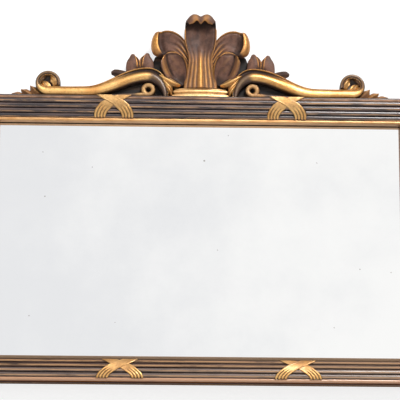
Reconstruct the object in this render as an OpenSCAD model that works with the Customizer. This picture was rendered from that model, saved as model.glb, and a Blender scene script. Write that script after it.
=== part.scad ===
// Overmantel mirror: a reeded moulding frame bound with crossed ribbons, a plain mirror plate,
// and a carved leaf-and-scroll crest on the top rail.
// Millimetres. X runs along the rails, Z is up, the front faces -Y and the wall is the plane y = 0.
// The origin is the middle of the frame's lower edge, on the wall.

/* [Opening] */
// Width of the opening inside the gilt slip
sight_w = 1085; // [900:5:1500]
// Height of the opening inside the gilt slip
sight_h = 645; // [480:5:1000]

/* [Moulding] */
// Depth of the moulding from the wall to the crown of its reeds
rail_d = 54; // [48:1:64]
// Number of reeds in the bundle
reed_count = 4; // [3:1:5]
// Radius of one reed
reed_r = 6.85; // [6.75:0.05:7.5]
// Distance from one reed to the next
reed_pitch = 13.2; // [12:0.1:13.4]
// Radius of the curve that the reeds lie on
bundle_r = 68; // [60:1:90]
// How far the bundle leans over towards the opening, in degrees
bundle_lean = 35; // [30:1:37]
// Radius of the gilt bead along the outer edge
edge_bead_r = 5.5; // [4.5:0.25:6.5]
// How deeply the edge bead is sunk into the last reed
bead_sink = 1; // [0.5:0.25:1.5]

/* [Gilt slip] */
// Width of the slip's face
slip_w = 9; // [7:0.5:12]
// How far the slip's face is domed
slip_dome = 2; // [1:0.5:3]
// Depth of the slip's face from the wall
slip_face = 37; // [34:1:40]
// How far the slip's tongue enters the rail
tongue_w = 4; // [3:0.5:5]
// Thickness of the slip's tongue
tongue_t = 2; // [1.5:0.25:3]

/* [Mirror plate and back] */
// Thickness of the mirror plate
glass_t = 4; // [3:0.5:6]
// How far the plate runs behind the rail, past the slip
glass_lap = 11.5; // [8:0.5:13]
// Gap round the plate, filled by glued blocks
glass_gap = 3; // [2:0.5:4]
// Air between the plate and the back boards
air_gap = 1; // [0.5:0.5:2]
// Length of one glued block
block_l = 40; // [25:5:60]
// Where the outer blocks of a side stand, as a share of half its length
block_spread = 0.7; // [0.5:0.05:0.85]
// Thickness of the back boards
board_t = 6; // [5:0.5:8]
// Number of back boards
board_count = 4; // [3:1:5]
// Width of the shoulder that the back boards are screwed to
shoulder_w = 10.5; // [9:0.5:13]

/* [Corner tongues] */
// Length of a loose tongue across the mitre
spline_l = 36; // [24:2:40]
// Width of a loose tongue along the mitre
spline_w = 20; // [12:1:24]
// Thickness of a loose tongue
spline_t = 4; // [3:0.5:6]
// Depth of the loose tongues from the wall
spline_d = 21; // [18:1:26]

/* [Ribbon ties] */
// Thickness of the ribbon
ribbon_t = 2.6; // [2:0.2:4]
// Distance of each upper tie from the middle of the rail
tie_x = 234; // [180:2:300]
// How far the lower pair of ties sits to one side
tie_shift = 25; // [0:1:40]

/* [Crest] */
// Thickness of the black board behind the carving
crest_board_t = 10; // [8:1:14]
// Height of the plume's bend above the frame
plume_h = 216.5; // [194:0.5:236]
// Radius that the plume's lip rolls over
plume_roll = 13.5; // [11:0.5:14]
// Radius that the tip of an upper leaf rolls over
leaf_roll = 12.5; // [9:0.5:14]
// Half the width of the plinth at its foot
plinth_half = 78; // [72:1:80]
// Height of the plinth
plinth_h = 26; // [22:1:28]
// How far the middle of the plinth stands forward of the board
plinth_bow = 26; // [22:1:30]

/* [Scrolls] */
// Distance from the middle to the centre of an end volute
volute_x = 413; // [400:1:430]
// Outer radius of an end volute
volute_r = 34; // [30:0.5:36]
// Distance from the middle to the crown of a large scroll
crown_x = 143; // [138:1:148]
// Height of the large scroll's centre line at its crown
crown_z = 61.5; // [60:0.5:64]
// Half the width of the large scroll at its crown
belly = 19.5; // [17:0.5:20]
// Half the width of the large scroll at its end volute
band = 12; // [10:0.5:13]
// How far the large scroll stands forward of the board
scroll_t = 29; // [24:1:32]
// Distance from the middle to the centre of a small volute
curl_x = 141.5; // [136:0.5:146]
// Outer radius of a small volute
curl_r = 20.4; // [18:0.2:20.4]

/* [Battens] */
// Width of a crest batten
batten_w = 50; // [40:2:60]
// Distance of each batten from the middle
batten_x = 70; // [62:1:74]
// How far a batten rises above the frame
batten_rise = 84; // [70:2:90]
// Thickness of a crest batten
batten_t = 10; // [8:1:12]
// How far a batten is let down into the back of the top rail
batten_drop = 33; // [28:1:35]

/* [Screws] */
// Radius of a screw's shank
screw_r = 1.6; // [1.25:0.05:2]
// Radius of a screw's head
head_r = 3; // [2.6:0.1:3.5]
// Height of a screw's countersunk head
head_h = 1.8; // [1.4:0.1:2.4]
// Length of a back board screw
board_screw_l = 16; // [12:1:20]
// Length of a batten screw
batten_screw_l = 18; // [15:1:19]
// Length of a hanger screw
hanger_screw_l = 20; // [16:1:26]

/* [Hangers] */
// Distance of the hangers' hinge line below the top of the frame
hang_drop = 230; // [150:5:320]
// Radius of a hanging ring, to the middle of its wire
ring_r = 13; // [12:0.5:16]
// Radius of the ring's wire
wire_r = 1.5; // [1.2:0.1:1.8]
// Thickness of the hanger plate
plate_t = 1.2; // [1:0.1:1.6]
// Width of the hanger plate
plate_w = 14; // [12:1:18]
// Length of the hanger plate below the hinge line
plate_l = 39; // [38:1:48]
// Width of the eye that holds the ring
eye_w = 7; // [6:0.5:8]

/* [Fits] */
// Clearance all round a tongue, a batten or a back board
wood_fit = 0.2; // [0.1:0.05:0.4]
// Clearance round a screw
screw_fit = 0.05; // [0.02:0.01:0.1]
// Least clearance between a ring's wire and its eye
ring_fit = 0.3; // [0.2:0.05:0.5]

/* [Hidden] */
$fn = 64;
over = 1; // how far a cutting shape runs past what it cuts
arc_steps = 9; // flats along the arc of one reed

// The moulding's section is drawn as [distance out from the opening, depth forward of the wall].
reed_turn = 2 * asin(reed_pitch / (2 * bundle_r));
bead_turn = 2 * asin((reed_r + edge_bead_r - bead_sink) / (2 * bundle_r));
bundle_at = [slip_w + reed_r + bundle_r * sin(bundle_lean), rail_d - bundle_r - reed_r];
function on_bundle(turn) = bundle_at + bundle_r * [sin(turn), cos(turn)];
reeds = [for (i = [0:reed_count - 1]) on_bundle(i * reed_turn - bundle_lean)];
bead_at = on_bundle((reed_count - 1) * reed_turn + bead_turn - bundle_lean);
face_w = bead_at.x + edge_bead_r;

frame_w = sight_w + 2 * face_w;
frame_h = sight_h + 2 * face_w;
centre_z = frame_h / 2;
silver_d = board_t + air_gap;
shoulder_d = silver_d + glass_t;
glass_out = slip_w + glass_lap;
rebate_out = glass_out + glass_gap;
lap_out = rebate_out + shoulder_w;
lap_screw = rebate_out + shoulder_w / 2;
back_mid = (lap_out + face_w) / 2;
board_z0 = face_w - lap_out + wood_fit;
board_h = (frame_h - 2 * board_z0 - (board_count - 1) * wood_fit) / board_count;
crest_face = batten_t + crest_board_t;
hang_z = frame_h - hang_drop;
eye_bore = wire_r + ring_r - sqrt(ring_r * ring_r - eye_w * eye_w / 4) + ring_fit;
eye_r = eye_bore + plate_t;

// ---- Shared geometry ----

// The angle of a vector, from -90 up to 270, so that an arc over the left side runs on past 180
function turn_of(v) = let (a = atan2(v.y, v.x)) a < -90 ? a + 360 : a;
function arc(c, r, from, to, n) = [for (i = [0:n]) let (a = from + (to - from) * i / n) c + r * [cos(a), sin(a)]];

// Where two circles of a bundle cross on their outer side
function valley(p, rp, q, rq) =
    let (gap = norm(q - p), u = (q - p) / gap, along_u = (rp * rp - rq * rq + gap * gap) / (2 * gap))
    p + along_u * u + sqrt(rp * rp - along_u * along_u) * [-u.y, u.x];

// A smooth curve through hand-set values, which may be points or plain numbers
function knot(p, i) = p[max(0, min(len(p) - 1, i))];
function along(p, s) =
    let (at = min(len(p) - 1.000001, max(0, s * (len(p) - 1))), i = floor(at), f = at - i,
         a = knot(p, i - 1), b = knot(p, i), c = knot(p, i + 1), d = knot(p, i + 2))
    0.5 * (2 * b + (c - a) * f + (2 * a - 5 * b + 4 * c - d) * f * f + (3 * b - a - 3 * c + d) * f * f * f);
function heading(p, s) =
    let (v = along(p, min(1, s + 0.01)) - along(p, max(0, s - 0.01))) v / norm(v);
function left_of(v) = [-v.y, v.x];
function ease(f) = pow(cos(90 * min(1, f)), 2);

// Each ring holds its front points and then its back points in reverse, `cells` cells across.
module skin(rings, cells) {
    n = 2 * (cells + 1);
    last = (len(rings) - 1) * n;
    sides = [for (i = [0:len(rings) - 2], j = [0:n - 1])
        let (a = i * n + j, b = i * n + (j + 1) % n)
        each [[a, b, b + n], [a, b + n, a + n]]];
    caps = [for (j = [0:cells - 1])
        let (k = n - 1 - j)
        each [[k, j + 1, j], [k, k - 1, j + 1], [last + j, last + j + 1, last + k], [last + j + 1, last + k - 1, last + k]]];
    polyhedron(points = [for (r = rings) each r], faces = concat(sides, caps), convexity = 8);
}

// Carving is drawn as [x, height above the frame] with a depth forward of the crest board's face.
function spot(p, f) = [p.x, -f, p.y];

// One ring across a leaf at s, from its foot at 0 to its bend at 1. tip holds, across the leaf,
// how far its end runs past the bend.
function flat_ring(spine, half, face, back, rise, tip, s) =
    let (m = len(tip) - 1, way = heading(spine, s), side = left_of(way) * along(half, s),
         points = [for (j = [0:m]) along(spine, s) + side * (2 * j / m - 1) + way * tip[j] * pow(s, 4)])
    concat([for (j = [0:m]) spot(points[j], along(face, s) + along(rise, s) * pow(2 * j / m - 1, 2))],
           [for (j = [m:-1:0]) spot(points[j], along(back, s))]);

// One ring of the tip, turned forward about a line across the leaf. The lip gets narrower and thinner.
function rolled_ring(spine, half, face, rise, tip, roll, thick, lip, turn, f) =
    let (m = len(tip) - 1, way = heading(spine, 1), side = left_of(way), wide = along(half, 1) * (1 - f * f) + lip * f * f,
         point = function (j, off) let (u = 2 * j / m - 1)
             spot(along(spine, 1) + side * wide * u + way * (tip[j] * (1 - f / 2) + (roll - off) * sin(turn)),
                  along(face, 1) + roll - (roll - off) * cos(turn)))
    concat([for (j = [0:m]) point(j, along(rise, 1) * pow(2 * j / m - 1, 2) * (1 - f / 2))],
           [for (j = [m:-1:0]) point(j, -thick * (1 - f / 2))]);

// A carved leaf: a dished sheet along a spine, solid down to the board, whose tip may roll forward
module leaf(spine, half, face, back, rise, tip = [0, 0, 0, 0, 0], steps = 10, roll = 0, roll_a = 170, thick = 6, lip = 8) {
    turns = roll > 0 ? 8 : 0;
    skin(concat(
        [for (i = [0:steps]) flat_ring(spine, half, face, back, rise, tip, i / steps)],
        [for (i = [1:1:turns]) rolled_ring(spine, half, face, rise, tip, roll, thick, lip, roll_a * i / turns, i / turns)]),
        len(tip) - 1);
}

// The leaf's outline in the plane of the board, for cutting what stands behind it
function leaf_side(spine, half, tip, s, k) =
    along(spine, s) + left_of(heading(spine, s)) * along(half, s) * k + heading(spine, s) * tip * pow(s, 4);
function leaf_outline(spine, half, steps = 10, tip = 0, reach = 0) =
    let (way = heading(spine, 1), side = left_of(way) * along(half, 1))
    concat([for (i = [0:steps]) leaf_side(spine, half, tip, i / steps, 1)],
           reach > 0 ? [along(spine, 1) + side + way * reach, along(spine, 1) - side + way * reach] : [],
           [for (i = [steps:-1:0]) leaf_side(spine, half, tip, i / steps, -1)]);

module cut_to(outline) translate([0, over, 0]) rotate([90, 0, 0]) linear_extrude(rail_d + 2 * over) polygon(outline);
module on_crest() translate([0, -crest_face, frame_h]) children();
module left_hand() mirror([1, 0, 0]) children();

// ---- Frame ----

// Sides of the frame: 0 top, 1 right, 2 bottom, 3 left. Inside, X runs along the side and Z out from the opening.
function half_across(k) = (k % 2 == 0 ? sight_h : sight_w) / 2;
function half_length(k) = (k % 2 == 0 ? sight_w : sight_h) / 2;
module at_side(k) translate([0, 0, centre_z]) rotate([0, 90 * k, 0]) translate([0, 0, half_across(k)]) children();

module mitred(k) {
    intersection() {
        multmatrix([[0, 0, 1, 0], [0, -1, 0, 0], [1, 0, 0, 0], [0, 0, 0, 1]])
            linear_extrude(2 * (half_length(k) + face_w + over), center = true) children();
        rotate([90, 0, 0]) translate([0, 0, -over]) linear_extrude(rail_d + 2 * over)
            polygon([[-half_length(k), 0], [half_length(k), 0],
                     [half_length(k) + face_w + over, face_w + over],
                     [-half_length(k) - face_w - over, face_w + over]]);
    }
}

function reed_arc(i) =
    let (c = reeds[i], last = reed_count - 1,
         from = i == 0 ? 180 : turn_of(valley(reeds[i - 1], reed_r, c, reed_r) - c),
         to = i == last ? turn_of(valley(c, reed_r, bead_at, edge_bead_r) - c)
                        : turn_of(valley(c, reed_r, reeds[i + 1], reed_r) - c))
    arc(c, reed_r, from, to, arc_steps);

module rail_section() {
    bead_from = turn_of(valley(reeds[reed_count - 1], reed_r, bead_at, edge_bead_r) - bead_at);
    crown = [for (i = [0:reed_count - 1]) let (a = reed_arc(i)) for (j = [0:arc_steps - 1]) a[j]];
    difference() {
        polygon(concat(
            [[slip_w, shoulder_d]], crown, arc(bead_at, edge_bead_r, bead_from, 0, arc_steps),
            [[face_w, 0], [lap_out, 0], [lap_out, board_t], [rebate_out, board_t], [rebate_out, shoulder_d]]));
        translate([slip_w - over, shoulder_d])
            square([tongue_w + over + wood_fit, tongue_t + wood_fit]);
    }
}

module slip_section() {
    polygon(concat(
        [[0, shoulder_d]],
        [for (i = [0:arc_steps]) let (a = 180 - 180 * i / arc_steps)
            [slip_w / 2 + slip_w / 2 * cos(a), slip_face - slip_dome + slip_dome * sin(a)]],
        [[slip_w, shoulder_d + tongue_t], [slip_w + tongue_w, shoulder_d + tongue_t], [slip_w + tongue_w, shoulder_d]]));
}

module tongue_at(grow) {
    mid = (rebate_out + face_w) / 2;
    for (sx = [-1, 1], sz = [-1, 1])
        translate([sx * (sight_w / 2 + mid), -spline_d, centre_z + sz * (sight_h / 2 + mid)])
            rotate([0, sx * sz * 45, 0])
                cube([spline_l + 2 * grow, spline_t + 2 * grow, spline_w + 2 * grow], center = true);
}

// ---- Screws ----

module screw_body(length, grow) {
    rotate_extrude() polygon([
        [0, 0], [head_r + grow, 0], [screw_r + grow, -head_h], [screw_r + grow, -length - grow], [0, -length - grow]]);
}
module screw(length) {
    rotate([-90, 0, 0]) difference() {
        screw_body(length, 0);
        cube([2 * head_r + over, 0.25 * head_r, head_h], center = true);
    }
}
module screw_hole(length) rotate([-90, 0, 0]) {
    screw_body(length, screw_fit);
    cylinder(h = over, r = head_r + screw_fit);
}

module board_screw_spots() {
    out_x = sight_w / 2 + lap_screw;
    for (i = [0:board_count - 1], q = [-1, 1], s = [-1, 1])
        translate([s * out_x, 0, board_z0 + (i + 0.5) * (board_h + wood_fit) + q * board_h / 4]) children();
    for (i = [-1:1], s = [-1, 1])
        translate([i * sight_w / 4, 0, centre_z + s * (sight_h / 2 + lap_screw)]) children();
}
module batten_screw_spots() {
    for (s = [-1, 1]) translate([s * batten_x, 0, frame_h]) {
        for (q = [-1, 1]) translate([q * batten_w / 4, 0, -batten_drop / 2]) children();
        for (q = [-1, 1]) translate([q * batten_w / 4, 0, batten_rise / 2]) children();
    }
}
module hanger_screw_spots() {
    for (s = [-1, 1], z = [ring_r, plate_l - plate_w / 2])
        translate([s * (sight_w / 2 + back_mid), plate_t, hang_z - z]) children();
}

module batten_pocket() {
    for (s = [-1, 1])
        translate([s * batten_x - batten_w / 2 - wood_fit, -batten_t, frame_h - batten_drop - wood_fit])
            cube([batten_w + 2 * wood_fit, batten_t + over, batten_drop + wood_fit + over]);
}

module frame_member(k) {
    color([0.22, 0.17, 0.15]) difference() {
        at_side(k) mitred(k) rail_section();
        tongue_at(wood_fit);
        board_screw_spots() screw_hole(board_screw_l);
        if (k == 0) batten_pocket();
        if (k == 0) batten_screw_spots() screw_hole(batten_screw_l);
        if (k % 2 == 1) hanger_screw_spots() screw_hole(hanger_screw_l);
    }
}
module top_rail() frame_member(0);
module right_stile() frame_member(1);
module bottom_rail() frame_member(2);
module left_stile() frame_member(3);

module slip(k) color([0.85, 0.64, 0.36]) at_side(k) mitred(k) slip_section();
module slip_top() slip(0);
module slip_right() slip(1);
module slip_bottom() slip(2);
module slip_left() slip(3);

module corner_tongues() color([0.72, 0.55, 0.36]) tongue_at(0);

// ---- Mirror plate and back ----

module mirror_plate() {
    w = sight_w + 2 * glass_out;
    h = sight_h + 2 * glass_out;
    color([0.86, 0.9, 0.91]) translate([-w / 2, -shoulder_d, centre_z - h / 2]) cube([w, glass_t, h]);
}

module glass_blocks() {
    color([0.7, 0.56, 0.4]) for (k = [0:3], i = [-1:1])
        at_side(k) translate([i * half_length(k) * block_spread - block_l / 2, -shoulder_d, glass_out])
            cube([block_l, glass_t, glass_gap]);
}

module back_board(i) {
    w = sight_w + 2 * (lap_out - wood_fit);
    color([0.55, 0.42, 0.29]) difference() {
        translate([-w / 2, -board_t, board_z0 + i * (board_h + wood_fit)]) cube([w, board_t, board_h]);
        board_screw_spots() screw_hole(board_screw_l);
    }
}
module back_board_1() back_board(0);
module back_board_2() back_board(1);
module back_board_3() back_board(2);
module back_board_4() back_board(3);
module back_board_screws() color([0.35, 0.33, 0.31]) board_screw_spots() screw(board_screw_l);

// ---- Ribbon ties ----

// One ribbon from its pointed end to its fringed tail: [along the rail, share of the way to the tail]
ribbon = [[-48, 0], [-5, 0], [12, 0.14], [29, 0.283], [40, 0.44], [50, 0.6], [58, 0.77], [63, 0.93],
          [29, 0.93], [24, 0.8], [15, 0.66], [-1, 0.467], [-22, 0.267], [-36, 0.13]];
tassels = [33.3, 41.8, 50.2, 58.7];
tassel_r = 4.3;
tassel_y = 0.93;
cross_y = 0.4; // where the two ribbons part again
tail_in = 8; // how much closer together the tails of the top ties hang

// The pointed end lies at the outer edge and the tail at the slip, or the other way round when flipped.
module ribbons(deep, flipped, inward) {
    point_end = flipped ? slip_w + 1 : face_w - 1;
    tail_end = flipped ? face_w - 2 * edge_bead_r + 3 : slip_w + 1;
    for (s = [-1, 1]) {
        place = function (p)
            [s * (p.x - inward * max(0, p.y - cross_y) / (tassel_y - cross_y)), point_end + (tail_end - point_end) * p.y];
        linear_extrude(deep) polygon([for (p = ribbon) place(p)]);
        for (x = tassels) translate(place([x, tassel_y])) cylinder(h = deep, r = tassel_r);
    }
}

// The tie lies over the crests of the reeds.
module tie(k, x, flipped, inward) {
    reach = face_w / 2;
    color([0.88, 0.68, 0.36]) at_side(k) translate([x, 0, 0]) intersection() {
        rotate([90, 0, 0]) ribbons(rail_d + ribbon_t + over, flipped, inward);
        translate([0, -bundle_at.y, bundle_at.x]) rotate([0, 90, 0]) difference() {
            cylinder(h = 4 * reach, r = bundle_r + reed_r + ribbon_t, center = true, $fn = 180);
            cylinder(h = 4 * reach + over, r = bundle_r + reed_r, center = true, $fn = 180);
        }
    }
}
module ribbon_tie_top_left() tie(0, -tie_x, false, tail_in);
module ribbon_tie_top_right() tie(0, tie_x, false, tail_in);
module ribbon_tie_bottom_left() tie(2, tie_x - tie_shift, true, 0);
module ribbon_tie_bottom_right() tie(2, -tie_x - tie_shift, true, 0);
module ribbon_tie_left_stile() tie(3, 0, true, 0);
module ribbon_tie_right_stile() tie(1, 0, true, 0);

// ---- Crest: board, battens and plinth ----

// Half of the board's outline, kept behind the carving
board_edge = [[280, 0], [262, 12], [228, 32], [196, 56], [184, 84], [160, 88], [132, 96],
              [124, 118], [104, 130], [66, 114], [34, 98]];

module crest_board() {
    last = len(board_edge) - 1;
    outline = concat(board_edge, [for (i = [last:-1:0]) [-board_edge[i].x, board_edge[i].y]]);
    color([0.12, 0.1, 0.09]) difference() {
        translate([0, -batten_t, frame_h]) rotate([90, 0, 0]) linear_extrude(crest_board_t) polygon(outline);
        batten_screw_spots() screw_hole(batten_screw_l);
    }
}

module crest_batten(s) {
    color([0.6, 0.46, 0.31]) difference() {
        translate([s * batten_x - batten_w / 2, -batten_t, frame_h - batten_drop])
            cube([batten_w, batten_t, batten_drop + batten_rise]);
        batten_screw_spots() screw_hole(batten_screw_l);
    }
}
module crest_batten_left() crest_batten(-1);
module crest_batten_right() crest_batten(1);
module batten_screws() color([0.35, 0.33, 0.31]) batten_screw_spots() screw(batten_screw_l);

plinth_step = 4; // how far each moulding of the plinth steps in from the one below

// One moulding of the plinth, bowed forward in the middle
module plinth_layer(z, h, inset) {
    half = plinth_half - inset;
    rise = plinth_bow / 3;
    r = (half * half + rise * rise) / (2 * rise);
    translate([0, 0, z]) linear_extrude(h) intersection() {
        translate([0, r - plinth_bow + inset]) circle(r, $fn = 180);
        translate([-half, -plinth_bow - over]) square([2 * half, plinth_bow + over]);
    }
}
module crest_plinth() {
    step = plinth_h / 6;
    color([0.8, 0.6, 0.34]) on_crest() {
        plinth_layer(0, plinth_h, 2 * plinth_step);
        plinth_layer(0, 2 * step, 0);
        plinth_layer(3 * step, 2 * step, plinth_step);
    }
}

// ---- Crest: plume and leaves ----

lip_t = 6; // thickness of a lip where it rolls over

plume_spine = [for (z = [0, 0.12, 0.24, 0.37, 0.48, 0.6, 0.72, 0.84, 0.94, 1]) [0, plinth_h + z * (plume_h - plinth_h)]];
plume_half = [46, 43, 37, 30, 27, 34, 41, 44, 44, 42.5];
plume_face = [25, 24, 23, 21, 17, 14, 12, 12, 13, 15];
plume_back = [0, 0, 0, 0, 0, 0, 0, 0, 2, 8];
plume_rise = [-10, -9, -6, 2, 8, 10, 11, 11, 9, 6];
plume_tip = [-23, -8, 0, -1, -8, -1, 0, -8, -23];
plume_turn = 210;
plume_lip = 31;

module plume() {
    color([0.45, 0.33, 0.25]) on_crest()
        leaf(plume_spine, plume_half, plume_face, plume_back, plume_rise, plume_tip, steps = 16,
             roll = plume_roll, roll_a = plume_turn, thick = lip_t, lip = plume_lip);
}
module behind_plume() cut_to(leaf_outline(plume_spine, plume_half, 16, plume_tip[0]));

upper_spine = [[14, 62], [26, 90], [42, 119], [63, 143], [87, 150], [113, 139]];
upper_half = [12, 13, 17, 26, 37, 46];
upper_face = [18, 17, 15, 13, 11, 11];
upper_back = [0, 0, 0, 0, 0, 4];
upper_rise = [2, 4, 7, 9, 9, 6];
upper_tip = [-2, -1, 0, 0, -1, -7, -26];
upper_turn = 185;
upper_lip = 18;

module upper_leaf_right() {
    color([0.5, 0.36, 0.25]) on_crest() difference() {
        leaf(upper_spine, upper_half, upper_face, upper_back, upper_rise, upper_tip, steps = 12,
             roll = leaf_roll, roll_a = upper_turn, thick = lip_t, lip = upper_lip);
        behind_plume();
        behind_lower_leaf();
    }
}
module behind_upper_leaf() cut_to(leaf_outline(upper_spine, upper_half, 12, upper_tip[0], leaf_roll + lip_t));

lower_spine = [[47, 37], [59, 58], [70, 82], [79, 106], [82, 126]];
lower_half = [9, 27, 34, 29, 13];
lower_face = [11, 9, 8, 10, 15];
lower_rise = [6, 14, 16, 13, 4];

module lower_leaf_right() {
    color([0.56, 0.42, 0.33]) on_crest() difference() {
        leaf(lower_spine, lower_half, lower_face, [0, 0], lower_rise, [0, 0, 0, 0, 0, 0, 0], steps = 12);
        behind_plume();
        behind_large_scroll();
        for (i = [0:2]) cut_to(frond_outline(i));
    }
}
module behind_lower_leaf() cut_to(leaf_outline(lower_spine, lower_half, 12));

ear_spines = [[[147, 60], [148, 84], [147, 108], [145, 127]], [[180, 52], [182, 80], [183, 104], [184, 124]]];
ear_halves = [[22, 20, 13, 4], [21, 20, 14, 4]];
ear_face = [12, 16, 16, 11];

module ear_leaf_right() {
    color([0.5, 0.36, 0.25]) on_crest() difference() {
        for (i = [0:1]) leaf(ear_spines[i], ear_halves[i], ear_face, [0, 0], [-4, -4], steps = 8);
        behind_large_scroll();
        behind_upper_leaf();
    }
}

rear_spine = [[192, 61], [214, 67], [232, 71], [243, 71]];
rear_half = [10, 11, 10, 8];

module rear_leaf_right() {
    color([0.42, 0.3, 0.22]) on_crest() difference() {
        leaf(rear_spine, rear_half, [9, 10, 9, 7], [0, 0], [-2, -2], steps = 6);
        behind_large_scroll();
        for (i = [0:1]) cut_to(leaf_outline(ear_spines[i], ear_halves[i], 8));
    }
}

// Three fronds on the inner side of the large scroll, in front of the plinth's end
frond_spines = [[[112, 60], [90, 47], [71, 37], [54, 33]], [[102, 47], [91, 34], [82, 24], [77, 15]],
                [[96, 34], [88, 23], [82, 13], [80, 4]]];
frond_halves = [[6, 8, 7, 3.5], [6, 8, 6.5, 3], [5, 7, 6, 3]];
frond_face = [24, 27, 27, 22];
function frond_outline(i) = leaf_outline(frond_spines[i], frond_halves[i], 6);

module acanthus_right() {
    color([0.82, 0.62, 0.36]) on_crest() difference() {
        for (i = [0:2]) leaf(frond_spines[i], frond_halves[i], frond_face, [0, 0], [-4, -4], steps = 6);
        behind_large_scroll();
        plinth_layer(-over, plinth_h + over, 0);
    }
}

// Three fingers of leaf outside the end volute, lying on the rail
finger_spines = [[[432, 1], [443, 9], [453, 19], [461, 29]], [[455, 1], [467, 7], [477, 13], [486, 19]],
                 [[479, 1], [491, 4], [500, 6], [511, 8]]];
finger_halves = [[10, 11, 10, 4], [9, 10, 9, 4], [6, 8, 7, 3]];
finger_face = [16, 17, 16, 12];

module end_leaf_right() {
    color([0.5, 0.36, 0.25]) on_crest() difference() {
        for (i = [0:2])
            leaf(finger_spines[i], finger_halves[i], [for (f = finger_face) f - 2 * i], [0, 0], [-3, -3], steps = 6);
        rotate([90, 0, 0]) translate([volute.x, volute.y, -over]) cylinder(h = rail_d, r = volute_r + wood_fit);
        translate([volute.x, -rail_d, -rail_d]) cube([2 * rail_d + volute_r, rail_d + over, rail_d]);
    }
}

// ---- Crest: scrolls ----

foot_x = plinth_half + 16;
foot_half = 6;
ring_half = 5.5;
volute = [volute_x, volute_r];
curl = [curl_x, curl_r];

// The band narrows to a ring as it turns round the end volute.
function volute_half(i) = ring_half + (band - ring_half) * ease(i / 14 / 0.4);

// The large scroll's centre line: up its arm, down its long fall, and round its end volute
scroll_path = concat(
    [for (a = [90:-15:0]) [crown_x - (crown_x - foot_x) * sin(a), crown_z * cos(a)]],
    [for (i = [1:13]) let (f = i / 13)
        [crown_x + f * (volute_x - crown_x), band + (crown_z - band) * ease(f / 0.62)]],
    [for (i = [1:14]) let (a = 20 * i - 90) volute + (volute_r - volute_half(i)) * [cos(a), sin(a)]]);
scroll_half = concat(
    [for (a = [90:-15:0]) foot_half + (belly - foot_half) * cos(a)],
    [for (i = [1:13]) band + (belly - band) * ease(i / 13 / 0.85)],
    [for (i = [1:14]) volute_half(i)]);
// Depth across the scroll, from its underside to the raised rim on its upper edge
scroll_bevel = [-15, -3, 0, -3, -9, -4];

// A scroll rests on the rail, so no point of it lies lower.
function band_point(path, halves, i, s) =
    let (way = knot(path, i + 1) - knot(path, i - 1), p = path[i] + left_of(way / norm(way)) * halves[i] * s)
    [p.x, max(0, p.y)];
function band_ring(path, halves, bevel, thick, i) =
    let (m = len(bevel) - 1, points = [for (j = [0:m]) band_point(path, halves, i, 2 * j / m - 1)])
    concat([for (j = [0:m]) spot(points[j], thick + bevel[j] * halves[i] / belly)],
           [for (j = [m:-1:0]) spot(points[j], 0)]);

// The volute is closed behind its ring, and two curled leaves lie in it.
web_t = 10;
inner_spines = [[[-4, -20], [3, -9], [11, 1], [17, 9]], [[-22, -6], [-20, 5], [-14, 15], [-7, 23]]];
inner_halves = [[8, 11, 10, 4], [4, 8, 8, 3]];
inner_face = [20, 22, 20, 15];

module volute_fill() {
    rotate([90, 0, 0]) translate(volute) cylinder(h = web_t, r = volute_r - ring_half);
    for (i = [0:1])
        leaf([for (p = inner_spines[i]) volute + p], inner_halves[i], inner_face, [0, 0], [-3, -3], steps = 6);
}

module large_scroll_right() {
    color([0.86, 0.66, 0.34]) on_crest() union() {
        volute_fill();
        skin([for (i = [0:len(scroll_path) - 1]) band_ring(scroll_path, scroll_half, scroll_bevel, scroll_t, i)],
             len(scroll_bevel) - 1);
    }
}
module behind_large_scroll() {
    last = 19;
    cut_to(concat([for (i = [0:last]) band_point(scroll_path, scroll_half, i, 1)],
                  [for (i = [last:-1:0]) band_point(scroll_path, scroll_half, i, -1)]));
}

// The small scroll's centre line: a low leaf along the rail, then once round its volute
tail_x = 260;
tail_half = 2;
curl_half = 6;
curl_path = concat(
    [for (i = [0:8]) let (f = i / 9) [tail_x + f * (curl_x - tail_x), tail_half + f * (curl_half - tail_half)]],
    [for (i = [0:15]) let (a = -90 - 22.5 * i) curl + (curl_r - curl_half) * [cos(a), sin(a)]]);
curl_halves = concat([for (i = [0:8]) tail_half + i / 9 * (curl_half - tail_half)],
                     [for (i = [0:15]) curl_half - 2 * i / 15]);
curl_bevel = [-8, -1, 0, -1, -8];

module small_scroll_right() {
    color([0.7, 0.52, 0.32]) on_crest()
        skin([for (i = [0:len(curl_path) - 1]) band_ring(curl_path, curl_halves, curl_bevel, scroll_t - 9, i)],
             len(curl_bevel) - 1);
}

module upper_leaf_left() left_hand() upper_leaf_right();
module lower_leaf_left() left_hand() lower_leaf_right();
module ear_leaf_left() left_hand() ear_leaf_right();
module rear_leaf_left() left_hand() rear_leaf_right();
module acanthus_left() left_hand() acanthus_right();
module end_leaf_left() left_hand() end_leaf_right();
module large_scroll_left() left_hand() large_scroll_right();
module small_scroll_left() left_hand() small_scroll_right();

// ---- Hangers ----

module hanger_plate(s) {
    color([0.72, 0.57, 0.28]) difference() {
        translate([s * (sight_w / 2 + back_mid), 0, hang_z]) union() {
            translate([-plate_w / 2, 0, -plate_l]) cube([plate_w, plate_t, plate_l - 2.5 * plate_t]);
            translate([-eye_w / 2, 0, -3 * plate_t]) cube([eye_w, plate_t, 2 * plate_t]);
            translate([-eye_w / 2, eye_r, 0]) rotate([0, 90, 0]) difference() {
                cylinder(h = eye_w, r = eye_r);
                translate([0, 0, -over]) cylinder(h = eye_w + 2 * over, r = eye_bore);
            }
        }
        hanger_screw_spots() screw_hole(hanger_screw_l);
    }
}
module hanger_plate_left() hanger_plate(-1);
module hanger_plate_right() hanger_plate(1);

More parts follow.
